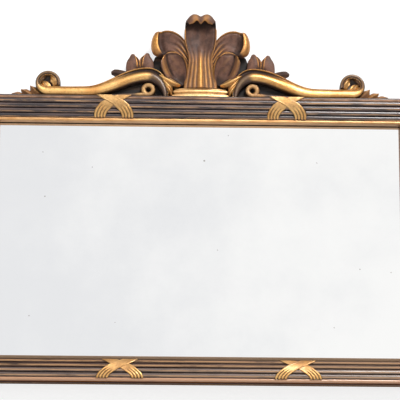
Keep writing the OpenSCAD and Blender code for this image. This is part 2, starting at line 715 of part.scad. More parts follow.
// The ring hangs from its eye and swings up about the line through the top of its wire
module hanger_ring(s) {
    color([0.72, 0.57, 0.28]) translate([s * (sight_w / 2 + back_mid), eye_r, hang_z - ring_r])
        rotate([90, 0, 0]) rotate_extrude() translate([ring_r, 0]) circle(wire_r);
}
module hanger_ring_left() hanger_ring(-1);
module hanger_ring_right() hanger_ring(1);
module hanger_screws() color([0.7, 0.56, 0.3]) hanger_screw_spots() screw(hanger_screw_l);

// ---- The parts, one at a time or all together ----

top_rail();
bottom_rail();
left_stile();
right_stile();
slip_top();
slip_bottom();
slip_left();
slip_right();
corner_tongues();
mirror_plate();
glass_blocks();
back_board_1();
back_board_2();
back_board_3();
back_board_4();
back_board_screws();
ribbon_tie_top_left();
ribbon_tie_top_right();
ribbon_tie_bottom_left();
ribbon_tie_bottom_right();
ribbon_tie_left_stile();
ribbon_tie_right_stile();
crest_board();
crest_batten_left();
crest_batten_right();
batten_screws();
crest_plinth();
plume();
upper_leaf_left();
upper_leaf_right();
lower_leaf_left();
lower_leaf_right();
ear_leaf_left();
ear_leaf_right();
rear_leaf_left();
rear_leaf_right();
large_scroll_left();
large_scroll_right();
small_scroll_left();
small_scroll_right();
acanthus_left();
acanthus_right();
end_leaf_left();
end_leaf_right();
hanger_plate_left();
hanger_plate_right();
hanger_ring_left();
hanger_ring_right();
hanger_screws();
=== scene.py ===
# %% [markdown]
# # Dressing an overmantel mirror
# The joinery of this mirror is exact already: the frame, the slips, the plate, the boards and the screws
# come from the construction model. This lesson dresses them. It gives every part its finish, and it
# replaces the plain carved solids of the crest and the ribbon ties with carved ones. Everything is in
# metres: the front faces -Y, and the mirror's back lies at y = 0.

import math

import bmesh
import bpy
import numpy as np
from mathutils import Matrix, Vector


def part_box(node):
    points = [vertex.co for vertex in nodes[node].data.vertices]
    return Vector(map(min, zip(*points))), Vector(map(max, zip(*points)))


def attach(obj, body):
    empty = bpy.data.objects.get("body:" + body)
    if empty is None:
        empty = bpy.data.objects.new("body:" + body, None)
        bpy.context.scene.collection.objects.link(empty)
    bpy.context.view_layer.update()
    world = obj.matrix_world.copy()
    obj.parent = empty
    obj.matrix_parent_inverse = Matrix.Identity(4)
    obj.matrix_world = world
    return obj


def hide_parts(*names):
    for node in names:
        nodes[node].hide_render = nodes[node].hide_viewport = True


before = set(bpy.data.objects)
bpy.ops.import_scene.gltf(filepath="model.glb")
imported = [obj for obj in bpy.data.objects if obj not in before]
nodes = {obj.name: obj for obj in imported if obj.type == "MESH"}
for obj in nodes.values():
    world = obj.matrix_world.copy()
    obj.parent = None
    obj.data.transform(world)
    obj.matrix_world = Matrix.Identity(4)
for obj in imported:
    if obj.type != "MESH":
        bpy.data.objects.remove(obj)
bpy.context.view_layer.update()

# %% [markdown]
# The measures that the looks need are read from the parts, so the carving sits where the construction
# puts it.

# %% Measures of the frame
MM = 0.001
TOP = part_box("top_rail")[1].z
SIGHT_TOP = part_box("slip_top")[0].z
SIGHT_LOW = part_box("slip_bottom")[1].z
SIGHT_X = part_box("slip_right")[0].x
FACE_W = TOP - SIGHT_TOP
SLIP_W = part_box("top_rail")[0].z - SIGHT_TOP
MID_Z = (SIGHT_TOP + SIGHT_LOW) / 2
CREST_D = -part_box("crest_board")[0].y
PLATE_FRONT = -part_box("mirror_plate")[0].y
print("opening", round(2 * SIGHT_X, 3), "by", round(SIGHT_TOP - SIGHT_LOW, 3), "moulding", round(FACE_W, 4))


# %% Objects from their data
def put(name, data):
    """A new object in the scene, made from a mesh, a camera or a lamp."""
    made = bpy.data.objects.new(name, data)
    bpy.context.scene.collection.objects.link(made)
    return made


# %% [markdown]
# ## Camera
# The photograph is taken with a long lens, from below the mirror and a little to its left.

# %% Camera
VIEW_DISTANCE = 6.0
VIEW_TURN = math.radians(1.6)
VIEW_RISE = math.radians(15.2)
VIEW_ROLL = math.radians(0.2)
AIM = Vector((0.0010, 0.0, 0.5063))
MM_PER_PIXEL = 2.695
PICTURE_PIXELS = 400
SENSOR = 36.0

camera_data = bpy.data.cameras.new("camera")
camera = put("camera", camera_data)
level = math.cos(VIEW_RISE)
forward = Vector((math.sin(VIEW_TURN) * level, math.cos(VIEW_TURN) * level, math.sin(VIEW_RISE)))
camera.location = AIM - forward * VIEW_DISTANCE
facing = forward.to_track_quat("-Z", "Y").to_matrix()
camera.rotation_euler = (facing @ Matrix.Rotation(VIEW_ROLL, 3, "Z")).to_euler()
camera_data.sensor_width = SENSOR
camera_data.lens = SENSOR * VIEW_DISTANCE / (PICTURE_PIXELS * MM_PER_PIXEL * MM)
bpy.context.scene.camera = camera
bpy.context.scene.view_settings.view_transform = "Standard"
print("lens", round(camera_data.lens, 1), "mm")

# %% [markdown]
# ## Shader helpers
# A finish is a small graph of nodes. These helpers add a node and join it in one line.


# %% Shader helpers
def add(tree, kind, wires=None, **settings):
    """A node of that kind. wires maps a socket's name or number to a value or to another node's socket."""
    made = tree.nodes.new(kind)
    for key, value in settings.items():
        setattr(made, key, value)
    for key, value in (wires or {}).items():
        if isinstance(value, bpy.types.NodeSocket):
            tree.links.new(value, made.inputs[key])
        else:
            made.inputs[key].default_value = value
    return made


def calc(tree, operation, *values, clamp=False):
    wires = dict(enumerate(values))
    return add(tree, "ShaderNodeMath", wires, operation=operation, use_clamp=clamp).outputs[0]


def times(tree, first, second, plus=None, clamp=False):
    """first times second, and a third value added where there is one."""
    if plus is None:
        return calc(tree, "MULTIPLY", first, second, clamp=clamp)
    return calc(tree, "MULTIPLY_ADD", first, second, plus, clamp=clamp)


def minus(tree, first, second, clamp=False):
    return calc(tree, "SUBTRACT", first, second, clamp=clamp)


def larger(tree, first, second):
    return calc(tree, "MAXIMUM", first, second)


def between(tree, value, low, high, out_low=0.0, out_high=1.0):
    """value as it goes from low to high, smoothly, and flat outside them."""
    wires = {"Value": value, "From Min": low, "From Max": high, "To Min": out_low, "To Max": out_high}
    return add(tree, "ShaderNodeMapRange", wires, interpolation_type="SMOOTHSTEP").outputs[0]


def blend(tree, share, first, second):
    """Two colours, blended by a share from 0 to 1."""
    return add(tree, "ShaderNodeMix", {0: share, 6: first, 7: second}, data_type="RGBA").outputs[2]


def blend_value(tree, share, first, second):
    return add(tree, "ShaderNodeMix", {0: share, 2: first, 3: second}, data_type="FLOAT").outputs[0]


def blend_shader(tree, share, first, second):
    return add(tree, "ShaderNodeMixShader", {0: share, 1: first, 2: second}).outputs[0]


def noise(tree, where, scale, detail=3.0, roughness=0.55, distortion=0.0):
    wires = {"Vector": where, "Scale": scale, "Detail": detail, "Roughness": roughness}
    wires["Distortion"] = distortion
    return add(tree, "ShaderNodeTexNoise", wires).outputs["Fac"]


def split(tree, where):
    """The x, y and z of a place, as three sockets."""
    return add(tree, "ShaderNodeSeparateXYZ", {0: where}).outputs


def vector_value(tree, operation, first, second):
    """One number from two places or directions, such as their distance."""
    return add(tree, "ShaderNodeVectorMath", {0: first, 1: second}, operation=operation).outputs["Value"]


def stretched(tree, where, sizes):
    """The coordinates scaled by sizes, for grain that is longer one way."""
    return add(tree, "ShaderNodeMapping", {"Vector": where, "Scale": sizes}).outputs[0]


def start_material(name):
    """A new material, its node tree, and the object coordinates."""
    made = bpy.data.materials.new(name)
    made.use_nodes = True
    tree = made.node_tree
    tree.nodes.clear()
    return made, tree, add(tree, "ShaderNodeTexCoord").outputs["Object"]


def finish_material(tree, wires, bump=None, bump_mm=0.3):
    """Ends a graph in one principled shader, with an optional bump of that height."""
    if bump is not None:
        rough = add(tree, "ShaderNodeBump", {"Height": bump, "Distance": bump_mm * MM, "Strength": 1.0})
        wires["Normal"] = rough.outputs[0]
    shader = add(tree, "ShaderNodeBsdfPrincipled", wires)
    add(tree, "ShaderNodeOutputMaterial", {"Surface": shader.outputs[0]})


def rgb(red, green, blue):
    """A colour given as it looks on screen, 0 to 255, as the shader wants it."""
    def linear(v):
        v = v / 255
        return v / 12.92 if v <= 0.04045 else ((v + 0.055) / 1.055) ** 2.4
    return (linear(red), linear(green), linear(blue), 1.0)


print("helpers ready")

# %% [markdown]
# ## Gilding
# Leaf gold is laid on a red-brown clay over white gesso. It shines on the crowns, thins on the edges, and
# gathers dirt in the hollows. Carved pieces carry two values at each point of their mesh: the first says how
# much gold was laid there, and the second how dark the place is painted, for that dirt and for painted shade
# in recesses, grooves, under rims and along edges. Where the gold ends, it fades into the brown over a few
# millimetres, so the two are blended by the value and not cut with a hard edge.

# %% Finishes for the gilt and parcel-gilt carving
GOLD = rgb(206, 148, 80)
PALE_GOLD = rgb(236, 186, 116)
DEEP_GOLD = rgb(146, 92, 44)
BRONZE = rgb(182, 130, 78)
CLAY = rgb(104, 68, 46)
DARK_CLAY = rgb(58, 38, 30)
BROWN = rgb(122, 82, 62)
DARK_BROWN = rgb(72, 44, 36)
# Near black for dirt and for painted shade in hollows, grooves, under rims and along edges
DIRT_SHADE_COLOUR = rgb(34, 22, 18)
# How far the edge of the laid gold wanders, as a share of full cover
RAGGED = 0.5


def gilding(name, wear, leaf=(GOLD, PALE_GOLD), ground=(CLAY, DARK_CLAY), shine=0.3, coat=0.35, dull=0.0):
    """Worn leaf gold. ground shows where it is gone, and dull roughens that ground."""
    made, tree, where = start_material(name)
    broad = noise(tree, where, 14.0, 4.0)
    fine = noise(tree, where, 160.0, 5.0, 0.6)
    patch = noise(tree, where, 55.0, 4.0, 0.6, 0.4)
    gold = blend(tree, between(tree, broad, 0.35, 0.65), *leaf)
    gold = blend(tree, between(tree, fine, 0.45, 0.75, 0.0, 0.5), gold, DEEP_GOLD)
    rubbed = between(tree, times(tree, fine, 0.35, patch), 0.92 - wear, 1.02 - wear)
    laid = add(tree, "ShaderNodeAttribute", attribute_name="gilt").outputs["Fac"]
    hollow = add(tree, "ShaderNodeAttribute", attribute_name="hollow").outputs["Fac"]
    laid = times(tree, minus(tree, patch, 0.5), RAGGED, laid)
    cover = minus(tree, between(tree, laid, 0.05, 0.95), times(tree, rubbed, 0.6), clamp=True)
    # Darkened where the carving is low: dirt, and painted shade.
    dirt_shade_share = times(tree, hollow, 0.9)
    under = blend(tree, between(tree, patch, 0.3, 0.7), *ground)
    colour = blend(tree, cover, under, gold)
    colour = blend(tree, dirt_shade_share, colour, DIRT_SHADE_COLOUR)
    gloss = times(tree, fine, 0.22, shine)
    finish_material(tree, {
        "Base Color": colour,
        "Metallic": times(tree, cover, 0.82),
        "Roughness": times(tree, minus(tree, 1.0, cover), dull, times(tree, dirt_shade_share, 0.25, gloss)),
        "Coat Weight": coat,
        "Coat Roughness": 0.18,
    }, times(tree, fine, 0.35, patch), 0.5)
    return made


GILT = gilding("gilt_carving", wear=0.06)
PALE_GILT = gilding("pale_gilt_plinth", wear=0.04, leaf=(rgb(236, 188, 126), rgb(250, 214, 154)),
                    shine=0.38)
PARCEL = gilding("parcel_gilt_carving", wear=0.0, leaf=(BRONZE, GOLD), ground=(BROWN, DARK_BROWN),
                 shine=0.34, coat=0.05, dull=0.2)


# %% Finish for the gilt slip
def slip_gilding(name):
    """Plain gilding that turns browner towards the right. The bottom slip is painted dull brown, a painted
    reflection of the dark above it, and every slip is painted black where it meets the glass, as painted
    shade."""
    made, tree, where = start_material(name)
    parts = split(tree, where)
    fine = noise(tree, stretched(tree, where, (30.0, 160.0, 160.0)), 1.0, 5.0, 0.6)
    gold = blend(tree, between(tree, fine, 0.35, 0.7), rgb(228, 178, 122), rgb(196, 142, 88))
    gold = blend(tree, between(tree, parts[0], 0.05, 0.5, 0.0, 0.6), gold, rgb(150, 116, 80))
    # Painted reflection: the bottom slip is painted dull brown for the dark that its upturned face reflects.
    bottom_slip_reflection = between(tree, parts[2], SIGHT_LOW + 0.002, SIGHT_LOW - 0.001)
    colour = blend(tree, bottom_slip_reflection, gold, rgb(132, 106, 82))
    # Painted shade: the slip is painted black where it meets the glass.
    glass_edge_shade = between(tree, times(tree, parts[1], -1.0), PLATE_FRONT + 0.0065, PLATE_FRONT + 0.005)
    colour = blend(tree, glass_edge_shade, colour, rgb(30, 16, 8))
    painted_slip_dark = larger(tree, bottom_slip_reflection, glass_edge_shade)
    finish_material(tree, {
        "Base Color": colour,
        "Metallic": times(tree, painted_slip_dark, -0.7, 0.7),
        "Roughness": times(tree, painted_slip_dark, 0.4, times(tree, fine, 0.2, 0.3)),
        "Specular IOR Level": times(tree, glass_edge_shade, -0.45, 0.5),
    }, fine, 0.2)
    return made


PLAIN_GILT = slip_gilding("gilt_slip")
print("slip:", PLAIN_GILT.name)

# %% [markdown]
# ## Ebonised moulding
# The reeds are stained black and polished, and their crowns have worn to the brown of the wood. The worn
# line is set on the downward flank of each reed, so it is wear and painted light from below; the bottom
# rail has more of it, and is painted paler towards the right as painted light. The grooves are painted
# near black as painted shade. The bead along the outer edge has lost most of its gilding, so it is
# painted in dull tans, paler on the bottom rail as painted light, with painted shade: dark brown on the
# top rail's outer part, and dark orange-brown on its underside along the bottom rail. The shader finds
# its place on the section from the object coordinates alone: `out` is the distance from the opening,
# `turn` the angle round the centre that the reeds are drawn from. The sizes of the reeds, in
# millimetres, repeat the construction model's.

# %% Finish for the reeded moulding
RAIL_D, REED_R, REED_PITCH, REED_COUNT = 54.0, 6.85, 13.2, 4
CURVE_R, BUNDLE_LEAN = 68.0, 35.0
REED_STEP = 2 * math.degrees(math.asin(REED_PITCH / (2 * CURVE_R)))
BUNDLE_OUT = SLIP_W + (REED_R + CURVE_R * math.sin(math.radians(BUNDLE_LEAN))) * MM
BUNDLE_DEEP = (RAIL_D - CURVE_R - REED_R) * MM
BEAD_FROM = (REED_COUNT - 0.5) * REED_STEP
# Depths between which the bead begins, depths of its top and side, and how far out it is still lit
BEAD_FOOT = (0.036, 0.038)
BEAD_SIDE = (0.0505, 0.0470)
BEAD_LIT = (0.0655, 0.0625)


def ebonised(name):
    made, tree, where = start_material(name)
    parts = split(tree, where)
    side = minus(tree, calc(tree, "ABSOLUTE", parts[0]), SIGHT_X)
    high = calc(tree, "ABSOLUTE", minus(tree, parts[2], MID_Z))
    high = minus(tree, high, MID_Z - SIGHT_LOW)
    out = larger(tree, side, high)
    deep = times(tree, parts[1], -1.0)
    on_stile = calc(tree, "GREATER_THAN", side, high)
    low_rail = minus(tree, calc(tree, "LESS_THAN", parts[2], SIGHT_LOW), on_stile, clamp=True)
    turn = calc(tree, "ARCTAN2", minus(tree, out, BUNDLE_OUT), minus(tree, deep, BUNDLE_DEEP))
    turn = calc(tree, "ADD", calc(tree, "DEGREES", turn), BUNDLE_LEAN)
    across = calc(tree, "ADD", calc(tree, "DIVIDE", turn, REED_STEP), 0.5)
    across = minus(tree, calc(tree, "FRACT", across), 0.5)
    reed = calc(tree, "ABSOLUTE", across)
    # Painted light as well as wear: the worn tan line is set on each reed's downward flank, where light from
    # below falls.
    lean = times(tree, low_rail, 0.3, -0.14)
    crown = between(tree, calc(tree, "ABSOLUTE", minus(tree, across, lean)), 0.2, 0.04)
    # Painted shade: the grooves between the reeds are painted near black.
    groove_shade = between(tree, reed, 0.36, 0.47)
    run_rail = noise(tree, stretched(tree, where, (7.0, 260.0, 260.0)), 1.0, 4.0, 0.6)
    run_stile = noise(tree, stretched(tree, where, (260.0, 260.0, 7.0)), 1.0, 4.0, 0.6)
    streak = blend_value(tree, on_stile, run_rail, run_stile)
    patch = noise(tree, where, 22.0, 4.0, 0.6)
    # The bottom rail gets more of the worn tan line.
    rub = times(tree, low_rail, 0.1, times(tree, patch, 0.5, streak))
    worn_and_lit = times(tree, crown, between(tree, rub, 0.62, 0.88), clamp=True)
    black = blend(tree, between(tree, streak, 0.35, 0.65), rgb(42, 32, 35), rgb(98, 76, 70))
    wood = blend(tree, worn_and_lit, black, rgb(196, 150, 106))
    # Painted light: the bottom rail is painted paler towards the right.
    painted_light = times(tree, low_rail, between(tree, parts[0], -0.3, 0.55, 0.1, 0.34))
    wood = blend(tree, painted_light, wood, rgb(178, 150, 128))
    wood = blend(tree, groove_shade, wood, rgb(22, 15, 17))
    on_bead = between(tree, turn, BEAD_FROM - 0.3, BEAD_FROM + 0.3)
    on_bead = times(tree, on_bead, between(tree, deep, *BEAD_FOOT))
    # Painted shade and painted light on the bead: dark brown on the top rail's outer part, paler on the
    # bottom rail.
    lit = larger(tree, low_rail, between(tree, out, *BEAD_LIT))
    rubbed = between(tree, times(tree, low_rail, 0.25, patch), 0.3, 0.65)
    bead = blend(tree, rubbed, rgb(124, 92, 70), rgb(204, 154, 118))
    bead = blend(tree, lit, rgb(72, 48, 34), bead)
    # Painted shade: the bead's underside along the bottom rail is painted dark orange-brown, left rough and
    # without coat.
    under = times(tree, low_rail, between(tree, deep, *BEAD_SIDE))
    bead = blend(tree, under, bead, rgb(112, 60, 22))
    colour = blend(tree, on_bead, wood, bead)
    behind = between(tree, parts[1], -0.0005, 0.0)
    colour = blend(tree, behind, colour, rgb(128, 96, 66))
    under = larger(tree, under, behind)
    finish_material(tree, {
        "Base Color": colour,
        "Roughness": larger(tree, times(tree, streak, 0.3, 0.14), times(tree, under, 0.9)),
        "Specular IOR Level": minus(tree, 0.5, times(tree, under, 0.45)),
        "Coat Weight": times(tree, minus(tree, 1.0, under), 0.5),
        "Coat Roughness": 0.14,
    }, streak, 0.25)
    return made


EBONY = ebonised("ebonised_moulding")
print("moulding finish:", EBONY.name)

# %% [markdown]
# ## Plate, raw wood and metal
# The silvering is old but sound: it has a faint grey veil and a few brown specks. The back boards and
# battens are pine that nobody polished, and the crest board is stained nearly black. The hangers and
# their screws are brass, and the other screws dull steel.

# %% Finishes for the plate, the back and the fittings
# Brown specks of the plate as x, z and size, in millimetres
FOX_MARKS = [(12, 613, 2.6), (-416, 509, 1.8), (-290, 592, 1.5), (-424, 633, 1.4), (77, 685, 1.4),
             (317, 611, 1.6), (48, 365, 1.4), (429, 316, 1.7), (512, 308, 1.5), (-451, 181, 1.6),
             (-223, 165, 1.3), (358, 156, 1.5)]


def silvered(name):
    made, tree, where = start_material(name)
    veil = noise(tree, where, 3.0, 5.0, 0.6)
    left_right = split(tree, where)[0]
    speck = noise(tree, where, 240.0, 3.0, 0.7)
    ragged = noise(tree, where, 700.0, 2.0)
    mark = None
    for x, z, size in FOX_MARKS:
        centre = (x * MM, -PLATE_FRONT, z * MM)
        reach = vector_value(tree, "DISTANCE", where, centre)
        reach = times(tree, ragged, 0.002, reach)
        spot = between(tree, reach, size * 1.3 * MM + 0.0012, size * 0.4 * MM + 0.0008)
        mark = spot if mark is None else larger(tree, mark, spot)
    foxed = larger(tree, times(tree, mark, 0.8), between(tree, speck, 0.82, 0.9, 0.0, 0.25))
    veil = between(tree, times(tree, left_right, 0.45, veil), 0.2, 0.8)
    clear = blend(tree, veil, rgb(235, 236, 238), rgb(253, 253, 252))
    finish_material(tree, {
        "Base Color": blend(tree, foxed, clear, rgb(96, 84, 70)),
        "Metallic": minus(tree, 1.0, times(tree, foxed, 0.6)),
        "Roughness": times(tree, foxed, 0.4, 0.02),
    })
    return made


def pine(name, tone):
    made, tree, where = start_material(name)
    grain = noise(tree, stretched(tree, where, (2.5, 60.0, 60.0)), 1.0, 5.0, 0.6, 1.2)
    wires = {"Vector": stretched(tree, where, (1.2, 9.0, 9.0)), "Scale": 1.1, "Distortion": 11.0}
    wires.update({"Detail": 3.0, "Detail Scale": 0.6})
    rings = add(tree, "ShaderNodeTexWave", wires, bands_direction="Z").outputs["Fac"]
    grime = noise(tree, where, 6.0, 5.0, 0.6)
    colour = blend(tree, between(tree, rings, 0.2, 0.9), rgb(*tone), rgb(*[0.82 * c for c in tone]))
    colour = blend(tree, between(tree, grain, 0.5, 0.75, 0.0, 0.6), colour, rgb(92, 64, 42))
    colour = blend(tree, between(tree, grime, 0.5, 0.8, 0.0, 0.5), colour, rgb(70, 54, 42))
    finish_material(tree, {"Base Color": colour, "Roughness": 0.72}, grain, 0.35)
    return made


def metal(name, bright, dull, gloss):
    made, tree, where = start_material(name)
    tarnish = noise(tree, where, 90.0, 5.0, 0.65)
    scratch = noise(tree, stretched(tree, where, (900.0, 900.0, 60.0)), 1.0, 2.0)
    finish_material(tree, {
        "Base Color": blend(tree, between(tree, tarnish, 0.4, 0.7), rgb(*bright), rgb(*dull)),
        "Metallic": 0.9,
        "Roughness": between(tree, tarnish, 0.35, 0.75, gloss, gloss + 0.3),
    }, scratch, 0.05)
    return made


SILVER = silvered("silvered_plate")
BOARD = pine("stained_board", (40, 34, 32))
PINE = pine("old_pine", (176, 134, 92))
BATTEN_PINE = pine("batten_pine", (160, 118, 78))
BRASS = metal("dull_brass", (196, 154, 84), (128, 96, 52), 0.28)
STEEL = metal("dull_steel", (120, 114, 108), (72, 62, 54), 0.4)
print("finishes:", len(bpy.data.materials))

# %% Dress the parts that keep their own shape
DRESS = [
    (EBONY, ["top_rail", "bottom_rail", "left_stile", "right_stile"]),
    (PLAIN_GILT, ["slip_" + side for side in ("top", "bottom", "left", "right")]),
    (SILVER, ["mirror_plate"]),
    (BOARD, ["crest_board"]),
    (PINE, ["corner_tongues", "glass_blocks"] + [f"back_board_{k}" for k in (1, 2, 3, 4)]),
    (BATTEN_PINE, ["crest_batten_left", "crest_batten_right"]),
    (STEEL, ["back_board_screws", "batten_screws"]),
    (BRASS, ["hanger_plate_left", "hanger_plate_right", "hanger_ring_left", "hanger_ring_right",
             "hanger_screws"]),
]
for finish, names in DRESS:
    for name in names:
        slots = nodes[name].data.materials
        slots.clear()
        slots.append(finish)
print("dressed", sum(len(names) for finish, names in DRESS), "parts")

# %% [markdown]
# ## Carving helpers
# A carved piece is a grid of points over its front and another over its back, closed round the edge. Both
# come from a spine drawn on the wall and a few lists of widths and depths along it, in millimetres: x
# from the middle, z above the frame, and depth forward of the crest board.


# %% Curves and ramps for carving
def along(knots, s):
    """A smooth curve through the knots at s, from 0 to 1. Knots are numbers or points."""
    p = np.asarray(knots, float)
    n = len(p)
    at = np.clip(np.asarray(s, float) * (n - 1), 0, n - 1 - 1e-9)
    i = at.astype(int)
    f = at - i
    a, b, c, d = (p[np.clip(i + k, 0, n - 1)] for k in (-1, 0, 1, 2))
    if p.ndim == 2:
        f = f[..., None]
    return 0.5 * (2 * b + (c - a) * f + (2 * a - 5 * b + 4 * c - d) * f**2 + (3 * b - a - 3 * c + d) * f**3)


def heading(knots, s):
    """The direction of the curve at s, of length 1."""
    step = along(knots, np.minimum(1, s + 0.01)) - along(knots, np.maximum(0, s - 0.01))
    return step / np.linalg.norm(step, axis=-1, keepdims=True)


def ramp(value, low, high):
    """0 at low and 1 at high, smooth between them and flat beyond. high may be the smaller."""
    f = np.clip((value - low) / (high - low), 0, 1)
    return f * f * (3 - 2 * f)


def ridge(value, middle, width):
    """A smooth bump of height 1 at the middle."""
    return np.exp(-(((value - middle) / width) ** 2))


def crest_points(plane, depth):
    """Points [x, z] above the frame with a depth, in millimetres, as places in the model, in metres."""
    return np.stack([plane[..., 0] * MM, -CREST_D - depth * MM, TOP + plane[..., 1] * MM], axis=-1)


# Across a piece the points crowd towards both edges, where the carving turns down.
ACROSS = np.sin(np.linspace(-0.5, 0.5, 49) * math.pi)
# Rows along a leaf, for large, middling and small ones, and rows round a rolled lip
MANY_ROWS, ROWS, FEW_ROWS, CURL_ROWS = 90, 60, 36, 26
print("points across a leaf:", len(ACROSS))


# %% Close two grids into a piece
def give_values(mesh, value, numbers):
    """One number for each point of the mesh, under a name that the finish can read."""
    layer = mesh.attributes.new(value, "FLOAT", "POINT")
    layer.data.foreach_set("value", np.asarray(numbers, np.float32))


def carved_piece(name, front, back, values, finish, replaced):
    """front and back are grids of places. values maps a name to its two grids, for front and back."""
    rows, columns = front.shape[:2]
    grid = np.arange(rows * columns).reshape(rows, columns)
    faces = []
    for r in range(rows - 1):
        for c in range(columns - 1):
            faces.append((grid[r, c], grid[r, c + 1], grid[r + 1, c + 1], grid[r + 1, c]))
    under = rows * columns
    faces += [tuple(under + v for v in reversed(face)) for face in faces]
    rim = list(grid[0, :]) + list(grid[1:, -1]) + list(grid[-1, -2::-1]) + list(grid[-2:0:-1, 0])
    for k, v in enumerate(rim):
        w = rim[(k + 1) % len(rim)]
        faces.append((w, v, under + v, under + w))
    mesh = bpy.data.meshes.new(name)
    places = np.concatenate([front.reshape(-1, 3), back.reshape(-1, 3)]).tolist()
    mesh.from_pydata(places, [], [tuple(int(v) for v in face) for face in faces])
    for value, (on_front, on_back) in values.items():
        numbers = np.concatenate([np.ravel(on_front), np.ravel(on_back)])
        give_values(mesh, value, numbers)
    work = bmesh.new()
    work.from_mesh(mesh)
    bmesh.ops.remove_doubles(work, verts=work.verts, dist=0.00002)
    bmesh.ops.recalc_face_normals(work, faces=work.faces)
    work.to_mesh(mesh)
    work.free()
    mesh.shade_smooth()
    return place_piece(name, mesh, finish, replaced)


def place_piece(name, mesh, finish, replaced):
    """Puts a mesh in the scene for the part that it replaces. One that will be joined replaces none."""
    mesh.materials.clear()
    mesh.materials.append(finish)
    made = put(name, mesh)
    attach(made, "frame")
    if replaced:
        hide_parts(replaced)
    return made


def mirrored(grid):
    return grid * np.array([-1.0, 1.0, 1.0])


def unchanged(grid):
    return grid


HANDS = (("right", unchanged), ("left", mirrored))


def pair(name, front, back, values, finish):
    """The same piece on the right and, mirrored, on the left."""
    for hand, turned in HANDS:
        label = f"{name}_{hand}"
        carved_piece(label + "_carved", turned(front), turned(back), values, finish, label)


print("piece makers ready")

# %% [markdown]
# A leaf lies flat from its foot to its bend, and its tip may roll forward over a round. `carve` adds the
# veins and rims, as a depth for each place across (`u`, -1 to 1) and along (`s`, 0 to 1) the leaf. On a
# rolled lip the same two are `v` and `f`. `scallop` makes the lip's edge hang lower in some places than
# in others, as a share of its turn.


# %% The leaf maker
LIP_THICK = 6.0


def rows_across(steps, places):
    """Two grids of one shape: the step along the leaf, and the place across it."""
    return np.broadcast_arrays(steps[:, None], places[None, :])


def leaf_grids(spine, half, face, back, rise, tip=(0, 0, 0), roll=0.0, roll_a=0.0, lip=0.0, tip_in=0.5,
               carve=lambda u, s: 0.0, edge=lambda u, s: 1.0, scallop=lambda v: 0.0, rows=ROWS):
    """The front and the back of a leaf. With a roll, its tip turns forward by roll_a degrees."""
    s, u = rows_across(np.linspace(0, 1, rows), ACROSS)
    way = heading(spine, s)
    left = np.stack([-way[..., 1], way[..., 0]], axis=-1)
    reach = along(tip, (u + 1) / 2)
    wide = along(half, s) * edge(u, s)
    plane = along(spine, s) + left * (wide * u)[..., None] + way * (reach * s**4)[..., None]
    depth = along(face, s) + along(rise, s) * u**2 + carve(u, s)
    soft = 1.6 * ramp(np.abs(u), 0.955, 1.0)
    low = along(back, s)
    front = [crest_points(plane, np.maximum(depth - soft, low + 0.5))]
    rear = [crest_points(plane, low)]
    if roll:
        f, v = rows_across(np.linspace(0, 1, CURL_ROWS + 1)[1:], ACROSS)
        one = np.ones_like(f)
        way = heading(spine, one)
        left = np.stack([-way[..., 1], way[..., 0]], axis=-1)
        wide = (along(half, one) * (1 - f**2) + lip * f**2) * edge(v, one)
        turn = np.radians(roll_a) * f * (1 + scallop(v) * f**2)
        inner = along(rise, one) * v**2 * (1 - f / 2) + carve(v, one) * (1 - f)
        outer = -LIP_THICK * (1 - f / 2) + 1.2 * ramp(np.abs(v), 0.9, 1.0) - 5 * f * scallop(v)
        reach = along(tip, (v + 1) / 2) * (1 - f * tip_in)
        for off, grid in ((inner, front), (outer, rear)):
            forth = reach + (roll - off) * np.sin(turn)
            plane = along(spine, one) + left * (wide * v)[..., None] + way * forth[..., None]
            grid.append(crest_points(plane, along(face, one) + roll - (roll - off) * np.cos(turn)))
    return np.concatenate(front), np.concatenate(rear)


def leaf_values(gold, low, rows=ROWS, lip_gold=None):
    """gold and low are functions of (u, s) over the flat of the leaf, and lip_gold of (v, f) on its lip. low
    is the painted shade and dirt.
    """
    s, u = rows_across(np.linspace(0, 1, rows), ACROSS)
    gilt_front, gilt_back = [gold(u, s)], [0 * s]
    # Painted shade and dirt on the front, and painted shade on the hidden back.
    shade_and_dirt_front, shade_and_dirt_back = [low(u, s)], [0.4 + 0 * s]
    if lip_gold:
        f, v = rows_across(np.linspace(0, 1, CURL_ROWS + 1)[1:], ACROSS)
        # Painted shade: the inside of a rolled lip has little gold and is painted dark.
        gilt_front.append(0.1 + 0 * f)
        gilt_back.append(lip_gold(v, f))
        shade_and_dirt_front.append(0.9 + 0 * f)
        shade_and_dirt_back.append(0.4 * (1 - ramp(lip_gold(v, f), 0.1, 0.5)))
    return {"gilt": (np.concatenate(gilt_front), np.concatenate(gilt_back)),
            "hollow": (np.concatenate(shade_and_dirt_front), np.concatenate(shade_and_dirt_back))}


print("leaf maker ready")

# %% [markdown]
# ## The plume
# The tall middle leaf grows out of a sheaf of stems, spreads into a dark dished blade, and rolls forward
# at the top in two lobes over a lip of three scallops. Its stems are gilt, its blade is bare brown with a
# thin gilt edge.

# %% The plume
PLINTH_H = 26.0
PLUME_H = 216.5
PLUME_KNOTS = (0, 0.12, 0.24, 0.37, 0.48, 0.6, 0.72, 0.84, 0.94, 1)
PLUME = dict(
    spine=[(0, PLINTH_H + share * (PLUME_H - PLINTH_H)) for share in PLUME_KNOTS],
    half=[46, 43, 38, 33, 33, 39, 43, 44, 44, 42.5],
    face=[25, 24, 23, 21, 17, 14, 12, 12, 13, 15],
    back=[0, 0, 0, 0, 0, 0, 0, 0, 2, 8],
    rise=[-10, -9, -6, 2, 8, 10, 11, 11, 9, 6],
    tip=[-23, -8, 0, -1, -8, -1, 0, -8, -23],
    roll=12.9, roll_a=210.0, lip=31.0,
)
STEMS = [(0.24, 0.06), (0.5, 0.07), (0.77, 0.06)]


